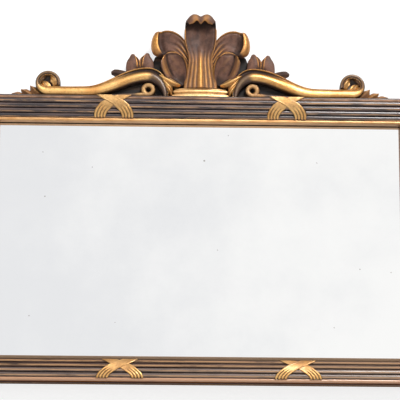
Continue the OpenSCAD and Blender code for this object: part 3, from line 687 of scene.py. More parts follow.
def plume_carve(u, s):
    a = np.abs(u)
    stems = ramp(s, 0.66, 0.36)
    wavy = a + 0.015 * np.sin(26 * s + 5 * u)
    cut = stems * (3.2 * ridge(a, 0.0, 0.12) - sum(2.2 * ridge(wavy, at, wide) for at, wide in STEMS))
    rim = ramp(s, 0.35, 0.6) * (1.6 * ridge(a, 0.95, 0.04) - 1.6 * ridge(a, 0.86, 0.05))
    crease = -2.6 * ridge(a, 0.0, 0.12) * ramp(s, 0.75, 1.0)
    blade = -0.9 * ramp(s, 0.5, 0.8) * np.cos(9 * a) * ramp(a, 0.75, 0.3)
    return cut + rim + crease + blade


def plume_gold(u, s):
    a = np.abs(u)
    grooves = sum(ridge(a, at, wide) for at, wide in STEMS)
    stems = ramp(s, 0.6, 0.36) * (0.6 + 0.35 * ridge(a, 0.0, 0.1) - 0.3 * grooves)
    rims = 0.75 * ramp(s, 0.3, 0.5) * ridge(a, 0.96, 0.035)
    smear = 0.16 * ramp(s, 0.5, 0.6) * (0.5 + 0.5 * np.sin(21 * u + 9 * s))
    return np.clip(np.maximum(stems, rims) + smear, 0, 1)


# Painted shade in the grooves between the stems, over the blade, and deepest under the roll.
def plume_shade(u, s):
    a = np.abs(u)
    grooves = ramp(s, 0.66, 0.4) * sum(ridge(a, at, 0.7 * wide) for at, wide in STEMS)
    shade = 0.55 * ramp(s, 0.78, 0.98) * ramp(a, 0.98, 0.7)
    shade = shade + 0.42 * ramp(s, 0.46, 0.62) * ramp(a, 0.97, 0.87)
    return np.clip(0.5 * grooves + shade, 0, 1)


def plume_lip(v, f):
    high = ridge(np.abs(v), 0.42, 0.3) * ramp(f, 0.3, 0.75)
    return 0.12 + 0.4 * high + 0.35 * ramp(f, 0.85, 1.0)


def plume_scallop(v):
    return 0.05 * np.cos(3 * math.pi * v)


front, back = leaf_grids(**PLUME, carve=plume_carve, rows=MANY_ROWS, scallop=plume_scallop)
values = leaf_values(plume_gold, plume_shade, MANY_ROWS, plume_lip)
plume = carved_piece("plume_carved", front, back, values, PARCEL, "plume")
print("plume faces:", len(plume.data.polygons))

# %% [markdown]
# ## The upper leaves
# Two long leaves spring from the sheaf, arch outwards and roll their round tips into bright gilt hoods.

# %% The upper leaves
UPPER = dict(
    spine=[(14, 62), (26, 90), (42, 119), (63, 143), (87, 150), (113, 139)],
    half=[12, 13, 17, 28, 39, 42.5],
    face=[12, 12, 12, 12, 11, 11],
    back=[0, 0, 0, 0, 0, 4],
    rise=[0, 2, 6, 9, 9, 6],
    tip=[-20, -8, -1, 3.5, 5.5, 6, 5.5, 4, 1, -3, -8, -14.5, -22],
    roll=12.5, roll_a=192.0, lip=38.5, tip_in=0.15,
)


def upper_edge(u, s):
    """The lower half of the leaf is the narrower one towards its tip."""
    return np.where(u < 0, 1 - 0.28 * ramp(s, 0.45, 0.9), 1.0)


def upper_carve(u, s):
    rims = 1.5 * ridge(u, 0.95, 0.04) - 1.6 * ridge(u, 0.86, 0.05)
    rims = rims + 3.2 * ridge(u, -0.88, 0.1) - 2.4 * ridge(u, -0.66, 0.07)
    reeds = ramp(s, 0.8, 0.5) * 1.3 * np.cos((u + 0.1) * 14) * ramp(np.abs(u), 0.8, 0.6)
    fold = -3.0 * ridge(s, 0.9, 0.035) * ramp(u, -0.7, -0.2) + 1.6 * ridge(s, 0.96, 0.03)
    return rims * ramp(s, 0.02, 0.15) + reeds + fold


def upper_gold(u, s):
    lines = 0.5 + 0.5 * np.cos((u + 0.1) * 14)
    rims = 0.9 * ridge(u, 0.95, 0.06) + 0.85 * ridge(u, -0.88, 0.12)
    fold = 0.25 * ridge(s, 0.96, 0.03) * ramp(u, -0.2, 0.4)
    return np.clip(rims + 0.62 * ramp(s, 0.72, 0.45) * lines + fold + 0.1, 0, 1)


# Painted shade in the grooves between the reeds, inside the rolled hood, and in the groove along the lower
# rim.
def upper_shade(u, s):
    lines = 0.5 - 0.5 * np.cos((u + 0.1) * 14)
    hood_shade = 0.85 * ramp(s, 0.78, 0.94) * ramp(u, 0.97, 0.85) * ramp(u, -0.85, -0.55)
    hood_shade = hood_shade * (1 - 0.55 * ridge(s, 0.9, 0.03) * ramp(u, -0.3, 0.1))
    groove_shade = 0.8 * ridge(u, -0.65, 0.05)
    return np.clip(0.55 * ramp(s, 0.85, 0.4) * lines + hood_shade + groove_shade, 0, 1)


def upper_lip(v, f):
    return ramp(v, -0.95, -0.45) * (1 - 0.35 * ramp(v, 0.6, 0.9)) * (0.45 + 0.5 * ramp(f, 0.05, 0.4))


def upper_scallop(v):
    return np.where(v < 0, -0.42, -0.12) * np.abs(v) ** 3


front, back = leaf_grids(**UPPER, carve=upper_carve, edge=upper_edge, rows=MANY_ROWS, scallop=upper_scallop)
pair("upper_leaf", front, back, leaf_values(upper_gold, upper_shade, MANY_ROWS, upper_lip), PARCEL)
print("upper leaves made")

# %% [markdown]
# ## The lower leaves
# Below them stand two cupped leaves, like half shells. The cup is smooth and brown, its rim is thin and
# gilt, and its outer edge is folded inwards over a deep hollow.

# %% The lower leaves
LOWER = dict(
    spine=[(47, 37), (59, 58), (70, 82), (79, 106), (82, 126)],
    half=[9, 27, 34, 32, 26],
    face=[11, 11, 16, 23, 26],
    back=[0, 0],
    rise=[6, 14, 16, 14, 8],
    tip=[-30, -13, -5, -1.5, 0, -1, -3.5, -8.5, -17],
)


def lower_carve(u, s):
    cup = ramp(s, 0.2, 0.4)
    lip = cup * (3.2 * ridge(u, -0.74, 0.22) - 5.5 * ridge(u, -0.42, 0.1) * ramp(s, 0.97, 0.85))
    rim = 1.5 * ridge(u, 0.95, 0.05) - 1.4 * ridge(u, 0.84, 0.06)
    rim = rim - 2.0 * ridge(s, 0.9, 0.035) * ramp(u, -0.6, -0.2)
    swell = 2.2 * ridge(u, 0.15, 0.3) * ridge(s, 0.6, 0.2)
    return rim + lip + swell


def lower_gold(u, s):
    rims = 0.85 * ridge(u, 0.95, 0.05) + 0.85 * ramp(s, 0.95, 0.985)
    lip = (0.5 * ridge(u, -0.78, 0.16) + 0.35 * ridge(u, -0.52, 0.05)) * ramp(s, 0.25, 0.45)
    swirl = 0.22 * ridge(u, 0.15, 0.35) * (0.5 + 0.5 * np.sin(11 * u + 17 * s)) * ramp(s, 0.3, 0.5)
    return np.clip(rims + lip + swirl + 0.08, 0, 1)


# Painted shade in the groove inside the folded edge, in the grooves under and beside the rim, and at the
# foot of the cup.
def lower_shade(u, s):
    slit = 0.95 * ridge(u, -0.4, 0.09) * ramp(s, 0.25, 0.4) * ramp(s, 0.96, 0.86)
    under_rim = 0.6 * ridge(s, 0.9, 0.03) * ramp(u, -0.5, -0.2) * ramp(u, 0.95, 0.8)
    under_rim = under_rim + 0.5 * ridge(u, 0.84, 0.05)
    return np.clip(slit + under_rim + 0.95 * ramp(s, 0.36, 0.16) * ramp(u, 0.75, 0.45), 0, 1)


front, back = leaf_grids(**LOWER, carve=lower_carve)
pair("lower_leaf", front, back, leaf_values(lower_gold, lower_shade), PARCEL)
print("lower leaves made")

# %% [markdown]
# ## Many small leaves
# The ear leaves, the rear leaves, the fronds beside the scrolls and the fingers at the ends are the same
# thing in different sizes: a few small blades with a vein and a round tip. One loop makes each of them
# from its blades, joined in one mesh. The two blades of an ear leaf are mirror twins, so each has its own
# side for the rim that faces the other.


# %% Small leaves
def vein_carve(u, s):
    return 1.6 * ridge(u, 0.0, 0.3) - 0.9 * ridge(np.abs(u), 0.6, 0.2)


def dark_edge(u):
    """Shade along both edges of a leaf."""
    return ramp(np.abs(u), 0.8, 1.0)


def vein_gold(u, s):
    return np.clip(0.5 + 0.45 * ridge(u, 0.1, 0.4) + 0.2 * ramp(s, 0.6, 1.0), 0, 1)


# Painted shade in the groove on one side of the vein, along both edges and at the foot.
def vein_shade(u, s):
    return np.clip(0.45 * ridge(u, -0.55, 0.15) + 0.6 * dark_edge(u) + 0.4 * ramp(s, 0.2, 0.0), 0, 1)


def finger_gold(u, s):
    return 0.42 + 0.2 * ridge(u, 0.35, 0.3) + 0.15 * ramp(s, 0.6, 1.0)


# Painted shade in a line near the middle, along both edges and at the foot.
def finger_shade(u, s):
    return np.clip(0.35 * ridge(u, -0.1, 0.1) + 0.6 * dark_edge(u) + 0.5 * ramp(s, 0.3, 0.0), 0, 1)


def ear_carve(u, s):
    rims = 1.8 * ridge(u, 0.9, 0.08) + 1.8 * ridge(u, 0.5, 0.08) - 2.2 * ridge(u, 0.7, 0.07)
    return rims * ramp(s, 0.25, 0.5) - 3.0 * ramp(s, 0.5, 0.25) * ramp(u, -0.1, 0.5)


def ear_gold(u, s):
    return np.clip((ridge(u, 0.93, 0.09) + 0.95 * ridge(u, 0.5, 0.08)) * ramp(s, 0.3, 0.5) + 0.12, 0, 1)


# Painted shade in the groove between the rims and at the foot on one side.
def ear_shade(u, s):
    groove_shade = 0.8 * ridge(u, 0.71, 0.06) * ramp(s, 0.3, 0.5)
    return np.clip(groove_shade + 0.95 * ramp(s, 0.5, 0.3) * ramp(u, 0.0, 0.4), 0, 1)


def rear_gold(u, s):
    return 0.35 * ramp(u, 0.5, 0.9)


# Painted shade: the rear leaf sits behind the others and is darkened all over.
def rear_shade(u, s):
    return 0.75 + 0 * u


# blades are the spines, and halves their half widths. step is how far forward each blade stands of the
# one before.
SMALL_LEAVES = {
    "ear_leaf": dict(
        blades=[[(147, 60), (148, 84), (147, 108), (144, 127)],
                [(180, 52), (182, 80), (183, 104), (185, 124)]],
        halves=[(22, 21, 18, 9), (21, 21, 18, 9)], face=(12, 16, 16, 11), rise=(-4, -4),
        step=0, sides=(-1, 1), finish=PARCEL, look=(ear_carve, ear_gold, ear_shade)),
    "rear_leaf": dict(
        blades=[[(192, 61), (214, 67), (232, 71), (243, 71)]],
        halves=[(10, 11, 10, 8)], face=(9, 10, 9, 7), rise=(-2, -2),
        step=0, sides=(1,), finish=PARCEL, look=(vein_carve, rear_gold, rear_shade)),
    "acanthus": dict(
        blades=[[(112, 60), (90, 47), (71, 37), (54, 33)], [(102, 47), (91, 34), (82, 24), (77, 15)],
                [(96, 34), (88, 23), (82, 13), (80, 4)]],
        halves=[(7, 9, 8.5, 5), (6.5, 8.5, 7.5, 4), (5.5, 7.5, 6.5, 3.5)],
        face=(24, 28, 28, 22), rise=(-7, -7),
        step=0, sides=(1, 1, 1), finish=GILT, look=(vein_carve, vein_gold, vein_shade)),
    "end_leaf": dict(
        blades=[[(432, 1), (443, 9), (453, 19), (461, 29)], [(455, 1), (467, 7), (477, 13), (486, 19)],
                [(479, 1), (491, 4), (500, 6), (511, 8)]],
        halves=[(10, 11, 10, 4), (9, 10, 9, 4), (6, 8, 7, 3)], face=(16, 18, 17, 12), rise=(-6, -6),
        step=-2, sides=(1, 1, 1), finish=PARCEL, look=(vein_carve, finger_gold, finger_shade)),
}
# How far a small leaf's tip falls back from its middle to its edges, as shares of its half width there
ROUND_TIP = (1.05, 0.36, 0.08, 0.0, 0.08, 0.36, 1.05)


def joined(name, pieces):
    """Several carved pieces as one mesh."""
    work = bmesh.new()
    for piece in pieces:
        work.from_mesh(piece.data)
        bpy.data.objects.remove(piece)
    mesh = bpy.data.meshes.new(name)
    work.to_mesh(mesh)
    work.free()
    return mesh


def blade(spine, half, face, rise, look, finish, turned, side=1):
    """One small leaf as an object of its own. look is its carve, its gold and its painted shade. Side -1
    swaps its edges.
    """
    def sided(value):
        return lambda u, s: value(side * u, s)
    carve, gold, low = map(sided, look)
    tip = [-share * half[-1] for share in ROUND_TIP]
    front, back = leaf_grids(spine, half, face, (0, 0), rise, tip=tip, carve=carve, rows=FEW_ROWS)
    for grid in (front, back):
        grid[..., 2] = np.maximum(grid[..., 2], TOP)
    values = leaf_values(gold, low, FEW_ROWS)
    return carved_piece("blade", turned(front), turned(back), values, finish, None)


for name, plan in SMALL_LEAVES.items():
    finish = plan["finish"]
    for hand, turned in HANDS:
        pieces = []
        for k, (spine, half, side) in enumerate(zip(plan["blades"], plan["halves"], plan["sides"])):
            face = [f + plan["step"] * k for f in plan["face"]]
            pieces.append(blade(spine, half, face, plan["rise"], plan["look"], finish, turned, side))
        label = f"{name}_{hand}"
        place_piece(label + "_carved", joined(label + "_carved", pieces), finish, label)
    print(name, "made from", len(plan["blades"]), "blades")

# %% [markdown]
# ## The scrolls
# A scroll is one band swept along a path, so Geometry Nodes makes it: a curve through the path carries
# the band's half width at each point, a closed section carries its relief, and the tree sweeps one along
# the other. The relief scales with the width, so the band stays full in its belly and thins towards the
# volute. The carver changed the section on the way: smooth on the long run, with a cove under the rim at
# the crown. The colour changes with it: bright on the run, dark in the cove, and dark brown on the arm and
# the volute's ring, where less gold and painted shade darken it. So the section carries its values three
# times, for run, crown and arm, and the path says how much of each.


# %% The band tree
def band_tree():
    tree = bpy.data.node_groups.new("band_along_path", "GeometryNodeTree")
    inputs = {"Path": "Object", "Section": "Object", "Finish": "Material", "Relief": "Float"}
    for label, kind in inputs.items():
        tree.interface.new_socket(label, in_out="INPUT", socket_type="NodeSocket" + kind)
    tree.interface.new_socket("Band", in_out="OUTPUT", socket_type="NodeSocketGeometry")
    given = add(tree, "NodeGroupInput").outputs

    def carried(label):
        return add(tree, "GeometryNodeInputNamedAttribute", {"Name": label}, data_type="FLOAT").outputs[0]

    def blended(label):
        """A value of the section, from run to crown to arm."""
        crowned = blend_value(tree, carried("cove"), carried(label + "_run"), carried(label + "_crown"))
        return blend_value(tree, carried("dim"), crowned, carried(label + "_arm"))

    path = add(tree, "GeometryNodeObjectInfo", {"Object": given["Path"]}).outputs["Geometry"]
    section = add(tree, "GeometryNodeObjectInfo", {"Object": given["Section"]}).outputs["Geometry"]
    path = add(tree, "GeometryNodeMeshToCurve", {"Mesh": path}).outputs[0]
    section = add(tree, "GeometryNodeMeshToCurve", {"Mesh": section}).outputs[0]
    band = add(tree, "GeometryNodeCurveToMesh", {
        "Curve": path, "Profile Curve": section, "Scale": carried("half"), "Fill Caps": True}).outputs[0]
    place = split(tree, add(tree, "GeometryNodeInputPosition").outputs[0])
    relief = times(tree, times(tree, blended("level"), carried("half")), given["Relief"])
    deep = minus(tree, times(tree, calc(tree, "ADD", carried("base"), relief), -1.0), CREST_D)
    rest = larger(tree, place[2], TOP)
    moved = add(tree, "ShaderNodeCombineXYZ", {0: place[0], 1: deep, 2: rest}).outputs[0]
    band = add(tree, "GeometryNodeSetPosition", {"Geometry": band, "Position": moved}).outputs[0]
    for label in ("gilt", "hollow"):
        wires = {"Geometry": band, "Name": label, "Value": blended(label)}
        stored = add(tree, "GeometryNodeStoreNamedAttribute", wires, data_type="FLOAT", domain="POINT")
        band = stored.outputs[0]
    band = add(tree, "GeometryNodeRealizeInstances", {"Geometry": band}).outputs[0]
    band = add(tree, "GeometryNodeSetMaterial", {"Geometry": band, "Material": given["Finish"]}).outputs[0]
    add(tree, "NodeGroupOutput", {"Band": band})
    return tree


BAND = band_tree()
print("inputs:", [item.name for item in BAND.interface.items_tree if item.in_out == "INPUT"])


# %% Paths and sections
def line_object(name, places, loop, values):
    """A line through the places, closed if it is a loop, with values at its points."""
    count = len(places)
    mesh = bpy.data.meshes.new(name)
    edges = [(k, k + 1) for k in range(count - 1)] + ([(count - 1, 0)] if loop else [])
    mesh.from_pydata([tuple(map(float, p)) for p in places], edges, [])
    for value, numbers in values.items():
        give_values(mesh, value, numbers)
    return put(name, mesh)


SECTION_POINTS = 64
STATES = ("run", "crown", "arm")


def section_object(name, states, base_mm):
    """states are the run, the crown and the arm. Each has a level, a gilt, and a painted shade and dirt
    list of pairs (place across, value). Right of travel is -1, left is 1."""
    u = -np.cos(np.linspace(0, math.pi, SECTION_POINTS))
    zero = np.zeros(SECTION_POINTS)
    values = {"base": np.concatenate([zero + base_mm * MM, zero])}
    for state, lists in zip(STATES, states):
        # The back of the band gets half of full painted shade.
        for label, pairs, behind in zip(("level", "gilt", "hollow"), lists, (0.0, 0.0, 0.5)):
            values[f"{label}_{state}"] = np.concatenate([np.interp(u, *zip(*pairs)), zero + behind])
    places = [(0.0, -v, 0.0) for v in u] + [(0.0, -v, 0.0) for v in u[::-1]]
    return line_object(name, places, True, values)


def sweep(name, path, halves, dim, cove, section, extras=()):
    """One gilt scroll and its mirror twin. extras are small leaves that are carved from the same wood."""
    places = [(x * MM, 0.0, TOP + z * MM) for x, z in path]
    values = {"half": np.asarray(halves) * MM, "dim": dim, "cove": cove}
    guide = line_object(name + "_path", places, False, values)
    holder = put(name, bpy.data.meshes.new(name))
    modifier = holder.modifiers.new("band", "NODES")
    modifier.node_group = BAND
    given = {"Path": guide, "Section": section, "Finish": GILT, "Relief": 1.0}
    for item in BAND.interface.items_tree:
        if item.in_out == "INPUT":
            modifier[item.identifier] = given[item.name]
    bpy.context.view_layer.update()
    ready = holder.evaluated_get(bpy.context.evaluated_depsgraph_get())
    mesh = bpy.data.meshes.new_from_object(ready)
    for old in (holder, guide):
        bpy.data.objects.remove(old)
    helpers = STATES + ("half", "base", "dim", "cove")
    for value in [layer.name for layer in mesh.attributes if layer.name.split("_")[-1] in helpers]:
        mesh.attributes.remove(mesh.attributes[value])
    work = bmesh.new()
    work.from_mesh(mesh)
    bmesh.ops.remove_doubles(work, verts=work.verts, dist=0.00001)
    for (hand, turned), factor in zip(HANDS, (1.0, -1.0)):
        copy = bpy.data.meshes.new(name)
        bmesh.ops.transform(work, matrix=Matrix.Diagonal((factor, 1.0, 1.0, 1.0)), verts=work.verts)
        bmesh.ops.recalc_face_normals(work, faces=work.faces)
        work.to_mesh(copy)
        pieces = [bpy.data.objects.new(name, copy)]
        pieces += [blade(**extra, finish=GILT, turned=turned) for extra in extras]
        label = f"{name}_{hand}"
        whole = joined(label + "_carved", pieces)
        whole.shade_smooth()
        place_piece(label + "_carved", whole, GILT, label)
    work.free()
    print(name, "faces:", len(whole.polygons))


# %% The large scrolls
# In millimetres: the volute's centre and radius, the crown and the foot of the arm, half widths of the
# band, and how far it stands forward of the crest board
VOLUTE = np.array([413.0, 34.0])
VOLUTE_R, RING_HALF = 34.0, 5.5
CROWN_X, CROWN_Z, FOOT_X = 143.0, 61.5, 94.0
BELLY, BAND_HALF, FOOT_HALF = 19.5, 12.0, 6.0
SCROLL_T = 29.0


def ease(f):
    """1 at 0, falling smoothly to 0 at 1."""
    return np.cos(np.radians(90 * np.minimum(1, f))) ** 2


arm_turn = np.radians(np.linspace(90, 0, 26))
fall_share = np.linspace(0, 1, 62)[1:]
curl_share = np.linspace(0, 1, 96)[1:]
curl_turn = np.radians(280 * curl_share - 90)

arm_half = FOOT_HALF + (BELLY - FOOT_HALF) * np.cos(arm_turn)
fall_half = BAND_HALF + (BELLY - BAND_HALF) * ease(fall_share / 0.85)
ring_half = RING_HALF + (BAND_HALF - RING_HALF) * ease(curl_share / 0.4)
scroll_half = np.concatenate([arm_half, fall_half, ring_half])

arm = np.stack([CROWN_X - (CROWN_X - FOOT_X) * np.sin(arm_turn), CROWN_Z * np.cos(arm_turn)], axis=1)
fall_x = CROWN_X + fall_share * (VOLUTE[0] - CROWN_X)
fall = np.stack([fall_x, BAND_HALF + (CROWN_Z - BAND_HALF) * ease(fall_share / 0.62)], axis=1)
round_volute = np.stack([np.cos(curl_turn), np.sin(curl_turn)], axis=1)
curl = VOLUTE + (VOLUTE_R - ring_half)[:, None] * round_volute
scroll_path = np.concatenate([arm, fall, curl])

before_curl = np.concatenate([arm, fall])[:, 0]
# The arm and the volute's ring take the arm's state, dark brown with painted shade; the crown's cove carries
# painted shade.
scroll_dim = np.concatenate([ramp(before_curl, 152, 124), 0.85 * ramp(curl_share, 0.1, 0.35)])
scroll_cove = np.concatenate([ramp(before_curl, 250, 165), 0 * curl_share])

# Each state of the section: its levels, its gilt, and its painted shade and dirt, as pairs of a place across
# and a value
RUN = (
    [(-1, -16), (-0.96, -11), (-0.88, -7), (-0.7, -3), (-0.45, -0.6), (-0.2, 0), (0.1, -0.3), (0.4, -1.6),
     (0.62, -3.8), (0.76, -5.6), (0.82, -6.2), (0.87, -4.2), (0.92, -3.2), (0.97, -3.8), (1, -6)],
    [(-1, 0.2), (-0.85, 0.5), (-0.7, 1), (0.6, 1), (0.78, 0.7), (0.86, 1), (1, 1)],
    [(-1, 0.7), (-0.85, 0.2), (-0.7, 0), (0.6, 0), (0.78, 0.35), (0.83, 0.45), (0.88, 0), (1, 0.1)],
)
CROWN = (
    [(-1, -16), (-0.96, -11.5), (-0.88, -7.6), (-0.7, -3.6), (-0.45, -0.9), (-0.2, 0), (0.05, -0.9),
     (0.25, -3.2), (0.42, -7), (0.52, -10.2), (0.62, -11.6), (0.72, -11.4), (0.8, -9.4), (0.85, -5.6),
     (0.89, -3.6), (0.94, -3.2), (0.98, -4.2), (1, -6)],
    [(-1, 0.0), (-0.85, 0.2), (-0.7, 0.85), (-0.5, 1), (0.15, 1), (0.4, 0.5), (0.6, 0.1), (0.82, 0.15),
     (0.88, 1), (1, 1)],
    [(-1, 0.9), (-0.8, 0.4), (-0.6, 0), (0.2, 0), (0.45, 0.6), (0.65, 0.85), (0.83, 0.6), (0.88, 0),
     (1, 0.1)],
)
ARM = (
    CROWN[0],
    [(-1, 0.0), (-0.7, 0.15), (-0.3, 0.3), (0.1, 0.22), (0.4, 0.05), (0.82, 0.1), (0.88, 0.95), (1, 0.9)],
    [(-1, 0.95), (-0.7, 0.55), (-0.3, 0.3), (0.1, 0.4), (0.5, 0.8), (0.83, 0.65), (0.88, 0), (1, 0.1)],
)


def to_belly(state):
    """A state with its levels as shares of the belly's half width."""
    return ([(u, level / BELLY) for u, level in state[0]],) + tuple(state[1:])


states = [to_belly(state) for state in (RUN, CROWN, ARM)]
scroll_section = section_object("scroll_section", states, SCROLL_T)

# %% [markdown]
# A carved floor closes the end volute behind its ring, and three curled leaves lie in it: a tongue that
# rises from the band, a gilt cheek along the inner side, and a browner one along the outer side. They are
# blades too, cut from the same wood, so they join the scroll.

# %% The volute's floor and leaves
WEB_R = VOLUTE_R - RING_HALF + 1.5
chord = np.linspace(-1, 1, 17)


def web_carve(u, s):
    return -5.0 * ridge(u, 0.0, 0.55) * ridge(s, 0.62, 0.3)


def web_gold(u, s):
    return 0.12 + 0.3 * ridge(u, -0.2, 0.12) * ridge(s, 0.86, 0.06)


# Painted shade on the volute's floor, darkest in its middle.
def web_shade(u, s):
    return 0.55 + 0.4 * ridge(u, 0.0, 0.5) * ridge(s, 0.62, 0.3)


def volute_leaf(places, half, face, gold, low):
    """places are measured from the volute's centre."""
    spine = [tuple(VOLUTE + place) for place in places]
    return dict(spine=spine, half=half, face=face, rise=(-3, -3), look=(vein_carve, gold, low))


# The last function of each small leaf is its painted shade, mostly along its edges.
VOLUTE_LEAVES = [
    dict(spine=[tuple(VOLUTE + (0, WEB_R * c)) for c in chord],
         half=list(WEB_R * np.sqrt(1.001 - chord**2)),
         face=[10] * 3, rise=(0, 0), look=(web_carve, web_gold, web_shade)),
    volute_leaf([(-4, -20), (3, -9), (11, 1), (17, 9)], (8, 11, 10, 4), (20, 22, 20, 15),
                lambda u, s: 0.75 + 0.25 * ridge(u, 0.5, 0.3),
                lambda u, s: 0.8 * ridge(u, 0.0, 0.12) + 0.5 * dark_edge(u)),
    volute_leaf([(-22, -6), (-20, 5), (-14, 15), (-7, 23)], (8, 12, 12, 7), (22, 25, 24, 19),
                lambda u, s: 0.55 + 0.25 * ridge(u, -0.4, 0.3),
                lambda u, s: 0.3 * ridge(u, 0.1, 0.1) + 0.5 * dark_edge(u)),
    volute_leaf([(24, 4), (21, 13), (14, 20), (5, 24)], (4, 7, 7, 4), (20, 23, 22, 18),
                lambda u, s: 0.3 + 0 * u,
                lambda u, s: 0.3 + 0.4 * dark_edge(u)),
]
sweep("large_scroll", scroll_path, scroll_half, scroll_dim, scroll_cove, scroll_section, VOLUTE_LEAVES)
bpy.data.objects.remove(scroll_section)

# %% The small scrolls
CURL = np.array([141.5, 20.4])
CURL_HALF, TAIL_HALF, TAIL_X = 7.4, 2.0, 260.0
CURL_T = SCROLL_T - 9
tail_share = np.linspace(0, 8 / 9, 30)
curl_share = np.linspace(0, 1, 60)
curl_turn = np.radians(-90 - 337.5 * curl_share)
tail_half = TAIL_HALF + tail_share * (CURL_HALF - TAIL_HALF)
tail = np.stack([TAIL_X + tail_share * (CURL[0] - TAIL_X), tail_half], axis=1)
round_curl = np.stack([np.cos(curl_turn), np.sin(curl_turn)], axis=1)
curl_path = np.concatenate([tail, CURL + (CURL[1] - CURL_HALF) * round_curl])
curl_half = np.concatenate([tail_half, CURL_HALF + 0.6 * curl_share])
curl_dim = np.concatenate([ramp(tail[:, 0], 165, 185), 0 * curl_share])

# Painted shade along both edges of the curl, and over more of the tail.
CURL_STATE = to_belly((
    [(-1, -26), (-0.9, -14), (-0.7, -4), (-0.4, -0.4), (0, 0), (0.4, -0.6), (0.7, -5), (0.9, -15), (1, -26)],
    [(-1, 0.1), (-0.6, 0.5), (0.6, 0.6), (1, 0.1)],
    [(-1, 0.8), (-0.6, 0.15), (0.6, 0.1), (1, 0.8)],
))
TAIL_STATE = (CURL_STATE[0], [(-1, 0.1), (0, 0.25), (1, 0.1)], [(-1, 0.8), (0, 0.45), (1, 0.8)])
curl_section = section_object("curl_section", (CURL_STATE, CURL_STATE, TAIL_STATE), CURL_T)
sweep("small_scroll", curl_path, curl_half, curl_dim, 0 * curl_half, curl_section)
bpy.data.objects.remove(curl_section)

# %% [markdown]
# ## The plinth
# The plume stands on a low bow-fronted plinth of stacked mouldings, wider at the foot, all gilt.

# %% The plinth
PLINTH_HALF, PLINTH_BOW = 78.0, 26.0
BOW_RISE = PLINTH_BOW / 3
# Heights and how far each is set back, in millimetres, and heights with the share of painted shade and dirt
# there
PLINTH_SECTION = [(0, 1.6), (0, 0.2), (1.5, 0), (4.6, 0.2), (7.2, 1.0), (8.4, 3.0), (8.9, 6.2), (9.8, 7.0),
                  (11.8, 7.0), (12.8, 6.2), (13.4, 4.4), (14.8, 3.9), (17.2, 3.7), (19.6, 4.2), (21.2, 5.4),
                  (21.8, 7.2), (22.4, 8.2), (24.4, 8.2), (25.4, 7.8), (PLINTH_H, 8.8)]
PLINTH_DARK = ([0, 1.5, 7, 8.8, 12, 13.6, 20.5, 21.9, 23.5, PLINTH_H],
               [0.2, 0, 0, 0.4, 0.3, 0, 0, 0.4, 0.2, 0])


def bow(x, inset):
    """Depth of the plinth's bowed front at x, for a moulding that is set back by inset."""
    half = PLINTH_HALF - inset
    r = (half**2 + BOW_RISE**2) / (2 * BOW_RISE)
    return PLINTH_BOW - inset - r + np.sqrt(r**2 - x**2)


u = np.linspace(-1, 1, 61)[None, :]
heights, insets = np.array(PLINTH_SECTION).T[:, :, None]
x = u * (PLINTH_HALF - insets)
plane = np.stack(np.broadcast_arrays(x, heights), axis=-1)
# Painted shade and dirt in the steps between the mouldings, where the gold is thinner too.
dark = np.interp(heights, *PLINTH_DARK) + 0 * x
values = {"gilt": (1 - 0.3 * dark, 0 * x), "hollow": (dark, 0.5 + 0 * x)}
front, back = crest_points(plane, bow(x, insets)), crest_points(plane, 0 * x)
plinth = carved_piece("crest_plinth_carved", front, back, values, PALE_GILT, "crest_plinth")
print("plinth faces:", len(plinth.data.polygons))

# %% [markdown]
# ## The ribbon ties
# Each tie is two flat ribbons that cross over the reeds. A ribbon starts in a point, runs straight
# through the crossing, and opens into a fringe of four rounded fingers. The ribbon is drawn flat, as a
# place along the rail and a share of the way to its fringe, and then bent over the bundle of reeds.

# %% The ribbon ties
CROWNS_R = (CURVE_R + REED_R) * MM
RIBBON_T = 2.6 * MM
# The two edges of a ribbon: place along the rail in millimetres, and share of the way to the fringe
EDGE_A = [(-48, 0), (-36, 0.13), (-22, 0.267), (-1, 0.467), (15, 0.66), (24, 0.8), (29, 0.93), (29.5, 1.0)]
EDGE_B = [(-5, 0), (5, 0.08), (18, 0.19), (29, 0.283), (41, 0.44), (51, 0.6), (59, 0.78), (63, 1.0)]
RIBBON_ROWS, RIBBON_COLUMNS = 60, 48
FINGERS = 4
CROSS_SHARE, TAIL_SHARE = 0.4, 0.93
# How far a tie's points and a flipped tie's fringe stay inside the face, and its back off the reeds
POINT_GAP, FRINGE_GAP, BACK_GAP = 1 * MM, 8 * MM, 0.02 * MM


def ribbon_grid(under, inward):
    """One ribbon as x along the rail, share of the way to the fringe, and height over the reeds."""
    s, v = rows_across(np.linspace(0, 1, RIBBON_ROWS), np.linspace(0, 1, RIBBON_COLUMNS))
    fringe = ramp(s, 0.5, 0.68)
    finger = np.abs(np.sin(v * FINGERS * math.pi))
    flat = along(EDGE_A, s) * (1 - v)[..., None] + along(EDGE_B, s) * v[..., None]
    past_cross = np.maximum(0, flat[..., 1] - CROSS_SHARE) / (TAIL_SHARE - CROSS_SHARE)
    x = flat[..., 0] - inward * past_cross
    share = flat[..., 1] - 0.075 * (1 - finger) * ramp(s, 0.8, 1.0) ** 2
    round_edge = np.sqrt(np.clip(1 - np.abs(2 * v - 1) ** 8, 0, 1))
    height = (0.55 + 0.25 * round_edge) * (1 - fringe) + fringe * (0.2 + 0.8 * finger**0.7)
    height = height + 0.12 * ridge(np.abs(2 * v - 1), 0.8, 0.08) * (1 - fringe)
    height = height * (1 - 0.3 * ramp(s, 0.93, 1.0))
    if under:
        height = height - 0.35 * ramp(np.abs(x - 2), 30, 14)
    # Painted shade: the gaps between the fingers have less gold and are darkened, and so are the ribbon's
    # edges.
    gilt = 0.62 + 0.38 * fringe - 0.5 * fringe * (1 - finger)
    low = 0.85 * fringe * (1 - finger) ** 1.5 + 0.35 * (1 - round_edge)
    return x * MM, share, np.clip(height, 0.12, 1) * RIBBON_T, gilt, low


